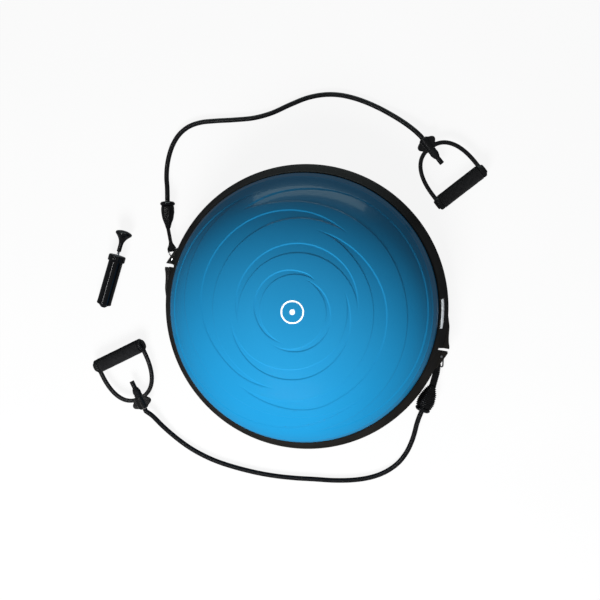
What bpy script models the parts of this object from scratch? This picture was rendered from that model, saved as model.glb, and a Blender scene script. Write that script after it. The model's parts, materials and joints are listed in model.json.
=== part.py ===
"""Balance dome trainer: an inflatable dome clamped on a round platform, with an elastic cord
and a handle hooked to each of its two ears, and the hand pump that fills it.

Origin: centre of the platform on the floor. +Z up, the two ears on -X (left) and +X (right).
All sizes are in metres.
"""
import math

import bmesh
import bpy
from mathutils import Matrix, Vector

GAP = 0.0003                  # clearance between pieces that touch

# Platform: a moulded disc, 580 mm across, whose rim tapers in towards the floor
PLATFORM_R = 0.290
PLATFORM_BOTTOM = 0.005
FLOOR_THICKNESS = 0.012
FOOT_CIRCLE_R = 0.272         # where the flat underside ends and the taper starts
LIP_BOTTOM = 0.030            # the rim is upright above this height
RIM_TOP = 0.042
RIM_INNER_R = 0.264
ROUND_STEPS = 72

# Dome: half an ellipsoid on a short upright neck, with a flange under the clamp ring
DOME_R = 0.270
DOME_EDGE_Z = 0.072
DOME_TOP_Z = 0.215
DOME_WALL = 0.004
DOME_FLANGE_R = 0.278
DOME_ROUND_STEPS = 48

# Screws that pull the clamp ring down on the flange
SCREW_COUNT = 8
SCREW_CIRCLE_R = 0.2835
SCREW_SEAT_Z = 0.0305
SCREW_END_Z = 0.0500
SCREW_R = 0.0018
SCREW_HEAD_R = 0.0034

# Feet
FOOT_COUNT = 6
FOOT_IN_R = 0.234
FOOT_OUT_R = 0.256
FOOT_SPAN = math.radians(40)
PAD_R = 0.045
FOOT_GROOVE = 0.002

# Air valve on the underside
VALVE_XY = (0.0, -0.120)
VALVE_PLATE_Z = 0.0140        # ceiling of the valve's well
VALVE_WELL_R = 0.0170
VALVE_BOSS_R = 0.0230
VALVE_BOSS_TOP = 0.0240
VALVE_BORE_R = 0.0083
PLUG_R = 0.0040

# Ears: an upper and a lower plate on each side with a notch between two lugs and a pin
EAR_UPPER = (LIP_BOTTOM, RIM_TOP)
EAR_LOWER = (0.0062, 0.0110)
EAR_OUTLINE = [
    (0.2660, -0.0430), (0.2865, -0.0415), (0.2930, -0.0340), (0.3035, -0.0005),
    (0.3030, 0.0105), (0.2985, 0.0190), (0.2945, 0.0320), (0.2905, 0.0500),
    (0.2790, 0.0760), (0.2660, 0.0700),
]
NOTCH_INNER_R = 0.2810
NOTCH_WIDTH = 0.0080
NOTCH_TURN = math.radians(8)
PIN_XY = (0.2930, -0.0120)
PIN_R = 0.0020
PIN_HEAD_R = 0.0032

# Steel rings round the pins
RING_WIRE_R = 0.0015
RING_LENGTH = 0.0220          # from the pin to the ring's straight bar
RING_HALF_BAR = 0.0090
RING_CORNER_R = 0.0030
RING_Z = 0.0165

# Webbing straps, bulb caps and collars
STRAP_LOOP_R = 0.0048
STRAP_HOLE_R = 0.0030
STRAP_THICK = 0.0036
BULB_PROFILE = [
    (0.0045, 0.0000), (0.0056, 0.0020), (0.0082, 0.0110), (0.0117, 0.0220),
    (0.0137, 0.0330), (0.0142, 0.0420), (0.0136, 0.0480),
]
COLLAR_R = 0.0162
COLLAR_LENGTH = 0.0092

# Elastic tubes
TUBE_R = 0.0050
TUBE_STEP = 0.0240            # distance between the points of a tube
STRAIGHT_END = 0.0060         # each end of a tube is square to the face it meets

# Handles, drawn flat: u runs along the tube's axis towards the grip, v across, z up
HANDLE_Z = 0.0152
BOW_LENGTH = 0.0850
BOW_HALF = 0.0530
BOW_POWER = 2.4
BOW_WIDTH = 0.0092
BOW_THICK = 0.0090
HUB_BACK = -0.0240
HUB_OUTLINE = [
    (-0.0035, 0.0150), (-0.0080, 0.0198), (-0.0140, 0.0200), (-0.0185, 0.0150), (-0.0200, 0.0100),
    (HUB_BACK, 0.0070),
]
HUB_R = 0.0085
GRIP_U = 0.1000
EYE_R = 0.0146
EYE_BORE_R = 0.0070
GRIP_R = 0.0150
GRIP_BORE_R = 0.0083
CORE_R = 0.0080
CORE_BORE_R = 0.0055
PLUG_HEAD_R = 0.0100
STOPPER_START = 0.0060
STOPPER_END = 0.0240
STOPPER_R = 0.0085
TUBE_END_U = 0.0400

# Hand pump, lying beside the platform with its axis along +Y
PUMP_X = -0.4145
PUMP_Z = 0.0185
PUMP_NOZZLE_Y = -0.1310
BARREL_R = 0.0153
BARREL_BORE_R = 0.0133
BARREL_START = 0.0060         # along the pump's axis from the nozzle's tip
BARREL_END = 0.1080
CAP_R = 0.0180
CAP_END = 0.1150
ROD_R = 0.0025
PISTON_START = 0.0190
PISTON_END = 0.0290
HANDLE_START = 0.1230
HANDLE_END = 0.1690

# Each cord: its side, the pin's turn about Z, the ring's heading, the lifting bar's heading,
# the strap's width at its loop and at the bulb, the bulb's two ends, how many times wider than
# high the bulb is at its neck and at its mouth, the route of the tube (x, y, z) and the handle's
# place and heading
LEFT_ROUTE = [
    (-0.3482, 0.1370, 0.0160), (-0.3545, 0.1520, 0.0115), (-0.3628, 0.1700, 0.0062),
    (-0.3685, 0.1920, 0.0052), (-0.3710, 0.2160, 0.0052), (-0.3697, 0.2400, 0.0052),
    (-0.3625, 0.2645, 0.0052), (-0.3475, 0.2855, 0.0052), (-0.3250, 0.3010, 0.0052),
    (-0.2960, 0.3125, 0.0052), (-0.2570, 0.3260, 0.0052), (-0.2190, 0.3410, 0.0052),
    (-0.1860, 0.3610, 0.0052), (-0.1550, 0.3870, 0.0052), (-0.1240, 0.4105, 0.0052),
    (-0.0910, 0.4265, 0.0052), (-0.0570, 0.4345, 0.0052), (-0.0190, 0.4355, 0.0052),
    (0.0200, 0.4310, 0.0056), (0.0540, 0.4235, 0.0077), (0.0830, 0.4150, 0.0112),
    (0.1060, 0.4060, 0.0145),
]
RIGHT_ROUTE = [
    (0.2880, -0.1460, 0.0160), (0.2878, -0.1620, 0.0112), (0.2890, -0.1800, 0.0062),
    (0.2890, -0.2000, 0.0052), (0.2855, -0.2260, 0.0052), (0.2755, -0.2530, 0.0052),
    (0.2570, -0.2780, 0.0052), (0.2320, -0.2985, 0.0052), (0.2000, -0.3155, 0.0052),
    (0.1620, -0.3295, 0.0052), (0.1220, -0.3405, 0.0052), (0.0820, -0.3515, 0.0052),
    (0.0400, -0.3610, 0.0052), (-0.0030, -0.3675, 0.0052), (-0.0470, -0.3710, 0.0052),
    (-0.0850, -0.3715, 0.0052), (-0.1190, -0.3685, 0.0052), (-0.1520, -0.3620, 0.0052),
    (-0.1860, -0.3510, 0.0054), (-0.2190, -0.3360, 0.0090), (-0.2450, -0.3210, 0.0140),
]
CORDS = [
    {"side": "left", "turn": math.pi, "ring": 125.0, "bar": 24.0, "strap": (0.0120, 0.0070),
     "bulb": ((-0.3260, 0.0690), (-0.3440, 0.1240)), "wide": (1.0, 1.0), "route": LEFT_ROUTE,
     "hub": (0.1460, 0.3810), "heading": -35.2},
    {"side": "right", "turn": 0.0, "ring": -90.0, "bar": 180.0, "strap": (0.0110, 0.0140),
     "bulb": ((0.2945, -0.0760), (0.2892, -0.1330)), "wide": (1.55, 1.20), "route": RIGHT_ROUTE,
     "hub": (-0.2830, -0.2930), "heading": 133.0},
]


# ---------------------------------------------------------------- helpers

def make_material(name, colour, roughness, metallic=0.0):
    """Return a Principled material of one colour."""
    material = bpy.data.materials.new(name)
    material.use_nodes = True
    shader = material.node_tree.nodes["Principled BSDF"]
    shader.inputs["Base Color"].default_value = (*colour, 1.0)
    shader.inputs["Roughness"].default_value = roughness
    shader.inputs["Metallic"].default_value = metallic
    return material


def finish_object(name, bm, material, parent=None, place=None):
    """Turn a bmesh into a named object with outward faces and smooth round sides."""
    bmesh.ops.recalc_face_normals(bm, faces=bm.faces)
    mesh = bpy.data.meshes.new(name)
    bm.to_mesh(mesh)
    bm.free()
    mesh.shade_smooth()
    mesh.set_sharp_from_angle(angle=math.radians(35))
    piece = bpy.data.objects.new(name, mesh)
    bpy.context.collection.objects.link(piece)
    if material:
        mesh.materials.append(material)
    if parent:
        piece.parent = parent
    if place:
        piece.matrix_local = place
    return piece


def add_empty(name, location, heading=0.0):
    """Return an empty that marks a joint axis or a piece's own frame."""
    empty = bpy.data.objects.new(name, None)
    empty.empty_display_size = 0.02
    empty.location = location
    empty.rotation_euler.z = heading
    bpy.context.collection.objects.link(empty)
    return empty


def add_turned(bm, profile, steps):
    """Revolve (radius, height) points about Z; the outline is closed, or ends on the axis."""
    on_axis = profile[0][0] == 0.0
    rings = []
    for radius, height in profile:
        if radius == 0.0:
            rings.append([bm.verts.new((0.0, 0.0, height))])
            continue
        angles = [math.tau * step / steps for step in range(steps)]
        rings.append([bm.verts.new((radius * math.cos(a), radius * math.sin(a), height)) for a in angles])
    pairs = list(zip(rings, rings[1:]))
    if not on_axis:
        pairs.append((rings[-1], rings[0]))
    for low, high in pairs:
        for step in range(steps):
            following = (step + 1) % steps
            corners = [low[step % len(low)], low[following % len(low)],
                       high[following % len(high)], high[step % len(high)]]
            bm.faces.new(list(dict.fromkeys(corners)))


def make_turned(name, profile, steps, material, parent=None, place=None):
    """Return a turned piece."""
    bm = bmesh.new()
    add_turned(bm, profile, steps)
    return finish_object(name, bm, material, parent, place)


def add_prism(bm, outline, bottom, top):
    """Extrude a flat outline of (x, y) points between two heights."""
    face = bm.faces.new([bm.verts.new((x, y, bottom)) for x, y in outline])
    raised = bmesh.ops.extrude_face_region(bm, geom=[face])["geom"]
    lifted = [item for item in raised if isinstance(item, bmesh.types.BMVert)]
    bmesh.ops.translate(bm, verts=lifted, vec=(0.0, 0.0, top - bottom))


def add_moved(bm, build, matrix):
    """Add geometry made by build(bm) and move it by a matrix."""
    before = set(bm.verts)
    build(bm)
    added = [vert for vert in bm.verts if vert not in before]
    bmesh.ops.transform(bm, matrix=matrix, verts=added)


def add_sector(bm, profile, start, span, steps):
    """Sweep a closed (radius, height) outline through part of a circle about Z."""
    sections = []
    for step in range(steps + 1):
        angle = start + span * step / steps
        sections.append([bm.verts.new((r * math.cos(angle), r * math.sin(angle), z)) for r, z in profile])
    join_sections(bm, sections)


def join_sections(bm, sections):
    """Skin a row of equal closed outlines and close both ends."""
    count = len(sections[0])
    for near, far in zip(sections, sections[1:]):
        for corner in range(count):
            following = (corner + 1) % count
            bm.faces.new((near[corner], near[following], far[following], far[corner]))
    bm.faces.new(sections[0])
    bm.faces.new(sections[-1])


def make_guide(name, bm):
    """Return a hidden solid that shapes another piece."""
    guide = finish_object(name, bm, None)
    guide.hide_render = True
    guide.display_type = "WIRE"
    return guide


def add_boolean(piece, guide, operation):
    """Join a guide to a piece, or cut it away."""
    modifier = piece.modifiers.new(operation.title() + " " + guide.name, "BOOLEAN")
    modifier.operation = operation
    modifier.object = guide
    modifier.solver = "EXACT"


def direction(degrees):
    """Return the unit vector of a heading in the floor plane."""
    return Vector((math.cos(math.radians(degrees)), math.sin(math.radians(degrees)), 0.0))


def along_y(offset):
    """Return a matrix that lays Z along +Y and moves it to an offset."""
    return Matrix.Translation(offset) @ Matrix.Rotation(-math.pi / 2, 4, "X")


def smooth_path(points, spacing):
    """Read evenly spaced points from a smooth curve through the given ones."""
    points = [Vector(point) for point in points]
    ends = [2 * points[0] - points[1], *points, 2 * points[-1] - points[-2]]
    fine = []
    for before, start, end, after in zip(ends, ends[1:], ends[2:], ends[3:]):
        for step in range(16):
            t = step / 16
            fine.append(0.5 * (2 * start + (end - before) * t
                               + (2 * before - 5 * start + 4 * end - after) * t ** 2
                               + (3 * start - before - 3 * end + after) * t ** 3))
    fine.append(points[-1])
    travelled = [0.0]
    for near, far in zip(fine, fine[1:]):
        travelled.append(travelled[-1] + (far - near).length)
    count = round(travelled[-1] / spacing)
    path = []
    index = 0
    for number in range(count + 1):
        target = travelled[-1] * number / count
        while index < len(fine) - 2 and travelled[index + 1] < target:
            index += 1
        share = (target - travelled[index]) / (travelled[index + 1] - travelled[index])
        path.append(fine[index].lerp(fine[index + 1], share))
    return path


def make_curve(name, points, radius, resolution, material, closed=False):
    """Return a round wire or tube through the given points."""
    curve = bpy.data.curves.new(name, "CURVE")
    curve.dimensions = "3D"
    curve.bevel_depth = radius
    curve.bevel_resolution = resolution
    curve.use_fill_caps = True
    spline = curve.splines.new("POLY")
    spline.points.add(len(points) - 1)
    for place, point in zip(spline.points, points):
        place.co = (*point, 1.0)
    spline.use_cyclic_u = closed
    curve.materials.append(material)
    tube = bpy.data.objects.new(name, curve)
    bpy.context.collection.objects.link(tube)
    return tube


# ---------------------------------------------------------------- platform

def on_circle(radius, index, count, phase=0.0):
    """Return a move to one of several evenly spaced places on a circle."""
    angle = phase + math.tau * index / count
    return Matrix.Translation((radius * math.cos(angle), radius * math.sin(angle), 0.0))


def screw_phase():
    """Screws stand clear of the ears."""
    return math.pi / SCREW_COUNT


def add_notches(bm):
    """A round-ended upright slot in each ear."""
    half = NOTCH_WIDTH / 2
    outline = [(0.040, -half), (0.040, half)]
    for step in range(7):
        angle = math.pi / 2 + math.pi * step / 6
        outline.append((half + half * math.cos(angle), half * math.sin(angle)))
    for turn in (0.0, math.pi):
        place = (Matrix.Rotation(turn, 4, "Z") @ Matrix.Translation((NOTCH_INNER_R, 0.0, 0.0))
                 @ Matrix.Rotation(NOTCH_TURN, 4, "Z"))
        add_moved(bm, lambda b: add_prism(b, outline, -0.010, 0.090), place)


def add_screw_holes(bm):
    """A stepped hole with a wide seat for each clamp screw."""
    wide = SCREW_HEAD_R + 2 * GAP
    narrow = SCREW_R + GAP
    profile = [(0.0, 0.002), (wide, 0.002), (wide, SCREW_SEAT_Z), (narrow, SCREW_SEAT_Z),
               (narrow, SCREW_END_Z + GAP), (0.0, SCREW_END_Z + GAP)]
    for index in range(SCREW_COUNT):
        place = on_circle(SCREW_CIRCLE_R, index, SCREW_COUNT, screw_phase())
        add_moved(bm, lambda b: add_turned(b, profile, 10), place)


def add_pin_holes(bm):
    """A stepped hole for the headed pin of each ear."""
    step = RIM_TOP - 0.0030
    hole = [(0.0, 0.0), (PIN_R + GAP, 0.0), (PIN_R + GAP, step), (PIN_HEAD_R + GAP, step),
            (PIN_HEAD_R + GAP, RIM_TOP + 0.002), (0.0, RIM_TOP + 0.002)]
    for turn in (0.0, math.pi):
        place = Matrix.Rotation(turn, 4, "Z") @ Matrix.Translation((*PIN_XY, 0.0))
        add_moved(bm, lambda b: add_turned(b, hole, 12), place)


def add_valve_well(bm):
    """A well in the underside with a bore up through its boss."""
    well = [(0.0, 0.0), (VALVE_WELL_R, 0.0), (VALVE_WELL_R, VALVE_PLATE_Z), (VALVE_BORE_R, VALVE_PLATE_Z),
            (VALVE_BORE_R, VALVE_BOSS_TOP + 0.002), (0.0, VALVE_BOSS_TOP + 0.002)]
    add_moved(bm, lambda b: add_turned(b, well, 24), Matrix.Translation((*VALVE_XY, 0.0)))


def make_platform(material):
    """The moulded disc with its rim, ears, valve boss and foot grooves."""
    top = PLATFORM_BOTTOM + FLOOR_THICKNESS
    groove = PLATFORM_BOTTOM + FOOT_GROOVE
    profile = [
        (0.0, groove), (PAD_R + GAP, groove), (PAD_R + GAP, PLATFORM_BOTTOM),
        (FOOT_IN_R - GAP, PLATFORM_BOTTOM), (FOOT_IN_R - GAP, groove),
        (FOOT_OUT_R + GAP, groove), (FOOT_OUT_R + GAP, PLATFORM_BOTTOM),
        (FOOT_CIRCLE_R, PLATFORM_BOTTOM),
        (PLATFORM_R, LIP_BOTTOM), (PLATFORM_R, RIM_TOP), (RIM_INNER_R, RIM_TOP),
        (RIM_INNER_R, top), (0.0, top),
    ]
    platform = make_turned("platform", profile, ROUND_STEPS, material)
    additions = bmesh.new()
    for turn in (0.0, math.pi):
        for bottom, height in (EAR_UPPER, EAR_LOWER):
            add_moved(additions, lambda b: add_prism(b, EAR_OUTLINE, bottom, height),
                      Matrix.Rotation(turn, 4, "Z"))
    boss = [(0.0, top - 0.002), (VALVE_BOSS_R, top - 0.002), (VALVE_BOSS_R, VALVE_BOSS_TOP - 0.002),
            (VALVE_BOSS_R - 0.002, VALVE_BOSS_TOP), (0.0, VALVE_BOSS_TOP)]
    add_moved(additions, lambda b: add_turned(b, boss, 24), Matrix.Translation((*VALVE_XY, 0.0)))
    add_boolean(platform, make_guide("ear_and_boss_guide", additions), "UNION")
    cuts = bmesh.new()
    for add_cut in (add_notches, add_screw_holes, add_pin_holes, add_valve_well):
        add_cut(cuts)
    add_boolean(platform, make_guide("platform_cut_guide", cuts), "DIFFERENCE")


def make_clamp_ring(material):
    """The sloping collar that clamps the dome's flange on the rim."""
    base = RIM_TOP + GAP
    bore = DOME_R + GAP
    seat = RIM_TOP + 2 * GAP + DOME_WALL
    flange = DOME_FLANGE_R + GAP
    profile = [
        (flange, base), (PLATFORM_R, base), (PLATFORM_R, base + 0.0032), (PLATFORM_R - 0.0022, base + 0.0062),
        (DOME_R + 0.0040, DOME_EDGE_Z - 0.0012), (DOME_R + 0.0020, DOME_EDGE_Z), (bore, DOME_EDGE_Z - 0.0010),
        (bore, seat), (flange, seat),
    ]
    ring = make_turned("clamp_ring", profile, ROUND_STEPS, material)
    cuts = bmesh.new()
    add_notches(cuts)
    add_screw_holes(cuts)
    add_boolean(ring, make_guide("ring_cut_guide", cuts), "DIFFERENCE")


def make_dome(material):
    """The elastic skin: an ellipsoid cap, an upright neck and an outward flange."""
    bottom = RIM_TOP + GAP
    top = bottom + DOME_WALL
    rise = DOME_TOP_Z - DOME_EDGE_Z
    inner_r = DOME_R - DOME_WALL
    outer = []
    inner = []
    for step in range(1, 10):
        angle = (math.pi / 2) * (step / 10) ** 1.15
        outer.append((DOME_R * math.cos(angle), DOME_EDGE_Z + rise * math.sin(angle)))
    for step in range(1, 6):
        angle = (math.pi / 2) * (step / 6) ** 1.15
        inner.append((inner_r * math.cos(angle), DOME_EDGE_Z + (rise - DOME_WALL) * math.sin(angle)))
    profile = [(0.0, DOME_TOP_Z), *reversed(outer), (DOME_R, DOME_EDGE_Z), (DOME_R, top),
               (DOME_FLANGE_R, top), (DOME_FLANGE_R, bottom), (inner_r, bottom), (inner_r, DOME_EDGE_Z),
               *inner, (0.0, DOME_TOP_Z - DOME_WALL)]
    make_turned("dome_skin", profile, DOME_ROUND_STEPS, material)


def make_screws(material):
    """Equal pan-head screws, evenly spaced."""
    head = SCREW_SEAT_Z - GAP
    profile = [(0.0, head - 0.0026), (SCREW_HEAD_R - 0.0006, head - 0.0026),
               (SCREW_HEAD_R, head), (SCREW_R, head), (SCREW_R, SCREW_END_Z), (0.0, SCREW_END_Z)]
    for index in range(SCREW_COUNT):
        place = on_circle(SCREW_CIRCLE_R, index, SCREW_COUNT, screw_phase())
        make_turned(f"clamp_screw_{index + 1}", profile, 8, material, place=place)


def make_feet(material):
    """Six rubber arcs and a round pad in the middle carry the platform."""
    top = PLATFORM_BOTTOM + FOOT_GROOVE - GAP
    chamfer = 0.0010
    profile = [(FOOT_IN_R + chamfer, 0.0), (FOOT_OUT_R - chamfer, 0.0), (FOOT_OUT_R, chamfer),
               (FOOT_OUT_R, top), (FOOT_IN_R, top), (FOOT_IN_R, chamfer)]
    for index in range(FOOT_COUNT):
        bm = bmesh.new()
        start = math.tau * index / FOOT_COUNT - FOOT_SPAN / 2 + math.pi / FOOT_COUNT
        add_sector(bm, profile, start, FOOT_SPAN, 8)
        finish_object(f"foot_{index + 1}", bm, material)
    pad = [(0.0, 0.0), (PAD_R - chamfer, 0.0), (PAD_R, chamfer), (PAD_R, top), (0.0, top)]
    make_turned("centre_pad", pad, 32, material)


def make_valve(rubber, plastic):
    """A rubber seat in the platform's well and the plug that stops it."""
    place = Matrix.Translation((*VALVE_XY, 0.0))
    under = VALVE_PLATE_Z - GAP
    flange = under - 0.0024
    bore = PLUG_R + GAP
    seat = [(bore, flange), (0.0130, flange), (0.0130, under), (VALVE_BORE_R - GAP, under),
            (VALVE_BORE_R - GAP, VALVE_BOSS_TOP + 0.002), (bore, VALVE_BOSS_TOP + 0.002)]
    make_turned("valve_seat", seat, 20, rubber, place=place)
    head = flange - GAP
    plug = [(0.0, head - 0.0028), (0.0065, head - 0.0028), (0.0075, head - 0.0018), (0.0075, head),
            (PLUG_R, head), (PLUG_R, VALVE_BOSS_TOP), (PLUG_R - 0.001, VALVE_BOSS_TOP + 0.001),
            (0.0, VALVE_BOSS_TOP + 0.001)]
    make_turned("valve_plug", plug, 16, plastic, place=place)


def make_label(material):
    """A thin blank strip on the clamp ring's slope."""
    low = Vector((PLATFORM_R - 0.0022, RIM_TOP + GAP + 0.0062))
    high = Vector((DOME_R + 0.0040, DOME_EDGE_Z - 0.0012))
    slope = (high - low).normalized()
    outward = Vector((slope.y, -slope.x))
    corner = low + slope * 0.0140 + outward * GAP
    outline = [corner, corner + slope * 0.0085, corner + slope * 0.0085 + outward * 0.0006,
               corner + outward * 0.0006]
    bm = bmesh.new()
    add_sector(bm, [tuple(point) for point in outline], math.radians(9.0), math.radians(12.0), 5)
    finish_object("blank_label", bm, material)


# ---------------------------------------------------------------- cords and handles

def make_ring(side, pin, heading, material):
    """A wire ring: round behind the pin, with a straight bar for the strap."""
    apex = PIN_R + 0.0006 + RING_WIRE_R
    outline = []
    for step in range(9):
        angle = math.pi / 2 + math.pi * step / 8
        outline.append((apex * math.cos(angle), apex * math.sin(angle)))
    for sign in (-1, 1):
        centre = (RING_LENGTH - RING_CORNER_R, sign * (RING_HALF_BAR - RING_CORNER_R))
        steps = range(5)
        for step in steps:
            angle = -math.pi / 2 + (math.pi / 2) * step / 4 + (math.pi / 2 if sign > 0 else 0.0)
            outline.append((centre[0] + RING_CORNER_R * math.cos(angle),
                            centre[1] + RING_CORNER_R * math.sin(angle)))
    turn = Matrix.Rotation(math.radians(heading), 4, "Z")
    points = [Vector((pin.x, pin.y, RING_Z)) + turn @ Vector((x, y, 0.0)) for x, y in outline]
    return make_curve(f"ring_{side}", points, RING_WIRE_R, 1, material, closed=True)


def make_pin(side, pin, material):
    """A headed pin through both plates of an ear."""
    head = RIM_TOP - 0.0030 + GAP
    foot = 0.0012
    profile = [(0.0, foot), (PIN_R, foot), (PIN_R, head), (PIN_HEAD_R, head),
               (PIN_HEAD_R, RIM_TOP - 0.0008), (PIN_HEAD_R - 0.0008, RIM_TOP), (0.0, RIM_TOP)]
    make_turned(f"anchor_pin_{side}", profile, 16, material, place=Matrix.Translation((pin.x, pin.y, 0.0)))


def make_strap(side, start, end, bar_heading, widths, material):
    """A webbing strap looped round the ring's bar, with one width at its loop and one at the bulb."""
    loop_width, bulb_width = widths
    run = end - start
    length = run.length - 3 * GAP
    forward = run.normalized()
    across = Vector((-forward.y, forward.x, 0.0))
    stations = [(-STRAP_LOOP_R, 0.35), (-0.0036, 0.70), (-0.0018, 0.93), (0.0, 1.0), (0.0030, 0.90)]
    bm = bmesh.new()
    sections = []
    for distance, share in stations:
        sections.append((distance, loop_width / 2, STRAP_LOOP_R * share))
    for distance in (0.0090, 0.0160, 0.0240, length):
        change = min(distance / 0.0240, 1.0)
        width = loop_width + (bulb_width - loop_width) * change
        sections.append((distance, width / 2, STRAP_THICK / 2))
    outlines = []
    for distance, half, thick in sections:
        centre = start + forward * distance
        edge = 0.6 * thick
        corners = [(half, edge), (half - thick * 0.4, thick), (thick * 0.4 - half, thick), (-half, edge),
                   (-half, -edge), (thick * 0.4 - half, -thick), (half - thick * 0.4, -thick), (half, -edge)]
        outlines.append([bm.verts.new(centre + across * y + Vector((0, 0, z))) for y, z in corners])
    join_sections(bm, outlines)
    strap = finish_object(f"strap_{side}", bm, material)
    hole = bmesh.new()
    tool = [(0.0, -0.020), (STRAP_HOLE_R, -0.020), (STRAP_HOLE_R, 0.020), (0.0, 0.020)]
    bar = direction(bar_heading)
    place = Matrix.Translation(start) @ Vector((0, 0, 1)).rotation_difference(bar).to_matrix().to_4x4()
    add_moved(hole, lambda b: add_turned(b, tool, 20), place)
    add_boolean(strap, make_guide(f"strap_guide_{side}", hole), "DIFFERENCE")


def make_bulb(side, start, end, wide, material):
    """The bulb-shaped cap over the tube's end and its screwed collar."""
    axis = (end - start).normalized()
    turn = Vector((0, 0, 1)).rotation_difference(axis).to_matrix().to_4x4()
    place = Matrix.Translation(start) @ turn
    stop = BULB_PROFILE[-1][1]
    profile = [(0.0, 0.0), *BULB_PROFILE, (0.0, stop)]
    bulb = make_turned(f"bulb_{side}", profile, 18, material, place=place)
    square = turn.inverted() @ Vector((-axis.y, axis.x, 0.0))
    for vert in bulb.data.vertices:
        factor = wide[0] + (wide[1] - wide[0]) * vert.co.z / stop
        vert.co += square * square.dot(vert.co) * (factor - 1.0)
    low = stop + GAP
    high = low + COLLAR_LENGTH
    collar = [(0.0, low), (COLLAR_R - 0.0020, low), (COLLAR_R, low + 0.0018), (COLLAR_R, high - 0.0025),
              (COLLAR_R - 0.0020, high), (0.0, high)]
    make_turned(f"collar_{side}", collar, 16, material, place=place)
    return place @ Vector((0.0, 0.0, high + GAP)), axis


def bow_point(angle, grow):
    """A point of the yoke's bow, grown outward or inward from its middle line."""
    power = 2 / BOW_POWER
    u = BOW_LENGTH - (BOW_LENGTH + grow) * math.cos(angle) ** power
    v = (BOW_HALF + grow) * math.sin(angle) ** power
    return u, v


def bow_edge(grow, first, last, steps):
    """One side of the bow's edge, from near the hub to the straight arm."""
    edge = []
    for step in range(steps + 1):
        angle = first + (last - first) * step / steps
        edge.append(bow_point(angle, grow))
    return edge


def make_yoke(side, frame, material):
    """A flat stirrup: a hub for the tube, a curved bow and two eyes for the grip."""
    half = BOW_WIDTH / 2
    arm_end = GRIP_U - 0.004
    outer = bow_edge(half, math.radians(19), math.radians(89), 7) + [(arm_end, BOW_HALF + half)]
    inner = bow_edge(-half, math.radians(3), math.radians(89), 7) + [(arm_end, BOW_HALF - half)]
    hub = list(reversed(HUB_OUTLINE))
    side_points = hub + outer + list(reversed(inner))
    outline = side_points + [(u, -v) for u, v in reversed(side_points)]
    bm = bmesh.new()
    add_prism(bm, outline, -BOW_THICK / 2, BOW_THICK / 2)
    place = Matrix.Translation((0.0, 0.0, HANDLE_Z))
    yoke = finish_object(f"yoke_{side}", bm, material, frame, place)
    additions = bmesh.new()
    hub_profile = [(0.0, HUB_BACK), (HUB_R - 0.0020, HUB_BACK), (HUB_R, HUB_BACK + 0.0020),
                   (HUB_R, 0.0020), (0.0, 0.0020)]
    lay_along_u = Matrix.Rotation(math.pi / 2, 4, "Y")
    add_moved(additions, lambda b: add_turned(b, hub_profile, 14), lay_along_u)
    eye = [(0.0, BOW_HALF - half), (EYE_R, BOW_HALF - half), (EYE_R, BOW_HALF + half - 0.0016),
           (EYE_R - 0.0016, BOW_HALF + half), (0.0, BOW_HALF + half)]
    bore = [(0.0, BOW_HALF - 0.020), (EYE_BORE_R, BOW_HALF - 0.020), (EYE_BORE_R, BOW_HALF + 0.020),
            (0.0, BOW_HALF + 0.020)]
    cuts = bmesh.new()
    for turn in (-math.pi / 2, math.pi / 2):
        spot = Matrix.Translation((GRIP_U, 0.0, 0.0)) @ Matrix.Rotation(turn, 4, "X")
        add_moved(additions, lambda b: add_turned(b, eye, 18), spot)
        add_moved(cuts, lambda b: add_turned(b, bore, 12), spot)
    for suffix, tool, operation in (("body", additions, "UNION"), ("bore", cuts, "DIFFERENCE")):
        guide = make_guide(f"yoke_{suffix}_guide_{side}", tool)
        guide.parent = frame
        guide.location = (0.0, 0.0, HANDLE_Z)
        add_boolean(yoke, guide, operation)


def make_grip(side, frame, foam, core_plastic, cap_plastic):
    """A foam sleeve on a tube that turns in the yoke's eyes, with a plug in each end."""
    axle = add_empty(f"grip_axle_{side}", (GRIP_U, 0.0, HANDLE_Z))
    axle.parent = frame
    lay_along_v = Matrix.Rotation(-math.pi / 2, 4, "X")
    shoulder = BOW_HALF - BOW_WIDTH / 2 - GAP
    tip = BOW_HALF + BOW_WIDTH / 2
    sleeve = [(GRIP_BORE_R, -shoulder), (GRIP_R - 0.0008, -shoulder), (GRIP_R, 0.0008 - shoulder),
              (GRIP_R, shoulder - 0.0008), (GRIP_R - 0.0008, shoulder), (GRIP_BORE_R, shoulder)]
    make_turned(f"grip_foam_{side}", sleeve, 20, foam, axle, lay_along_v)
    spigot = EYE_BORE_R - GAP
    core = [(CORE_BORE_R, -tip), (spigot, -tip), (spigot, -shoulder), (CORE_R, -shoulder),
            (CORE_R, shoulder), (spigot, shoulder), (spigot, tip), (CORE_BORE_R, tip)]
    make_turned(f"grip_core_{side}", core, 14, core_plastic, axle, lay_along_v)
    head = tip + GAP
    plug = [(0.0, head - 0.014), (CORE_BORE_R - GAP, head - 0.014), (CORE_BORE_R - GAP, head),
            (PLUG_HEAD_R, head), (PLUG_HEAD_R, head + 0.0012), (PLUG_HEAD_R - 0.0014, head + 0.0026),
            (0.0, head + 0.0026)]
    for number, turn in ((1, -math.pi / 2), (2, math.pi / 2)):
        make_turned(f"grip_plug_{side}_{number}", plug, 14, cap_plastic, axle, Matrix.Rotation(turn, 4, "X"))


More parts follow.
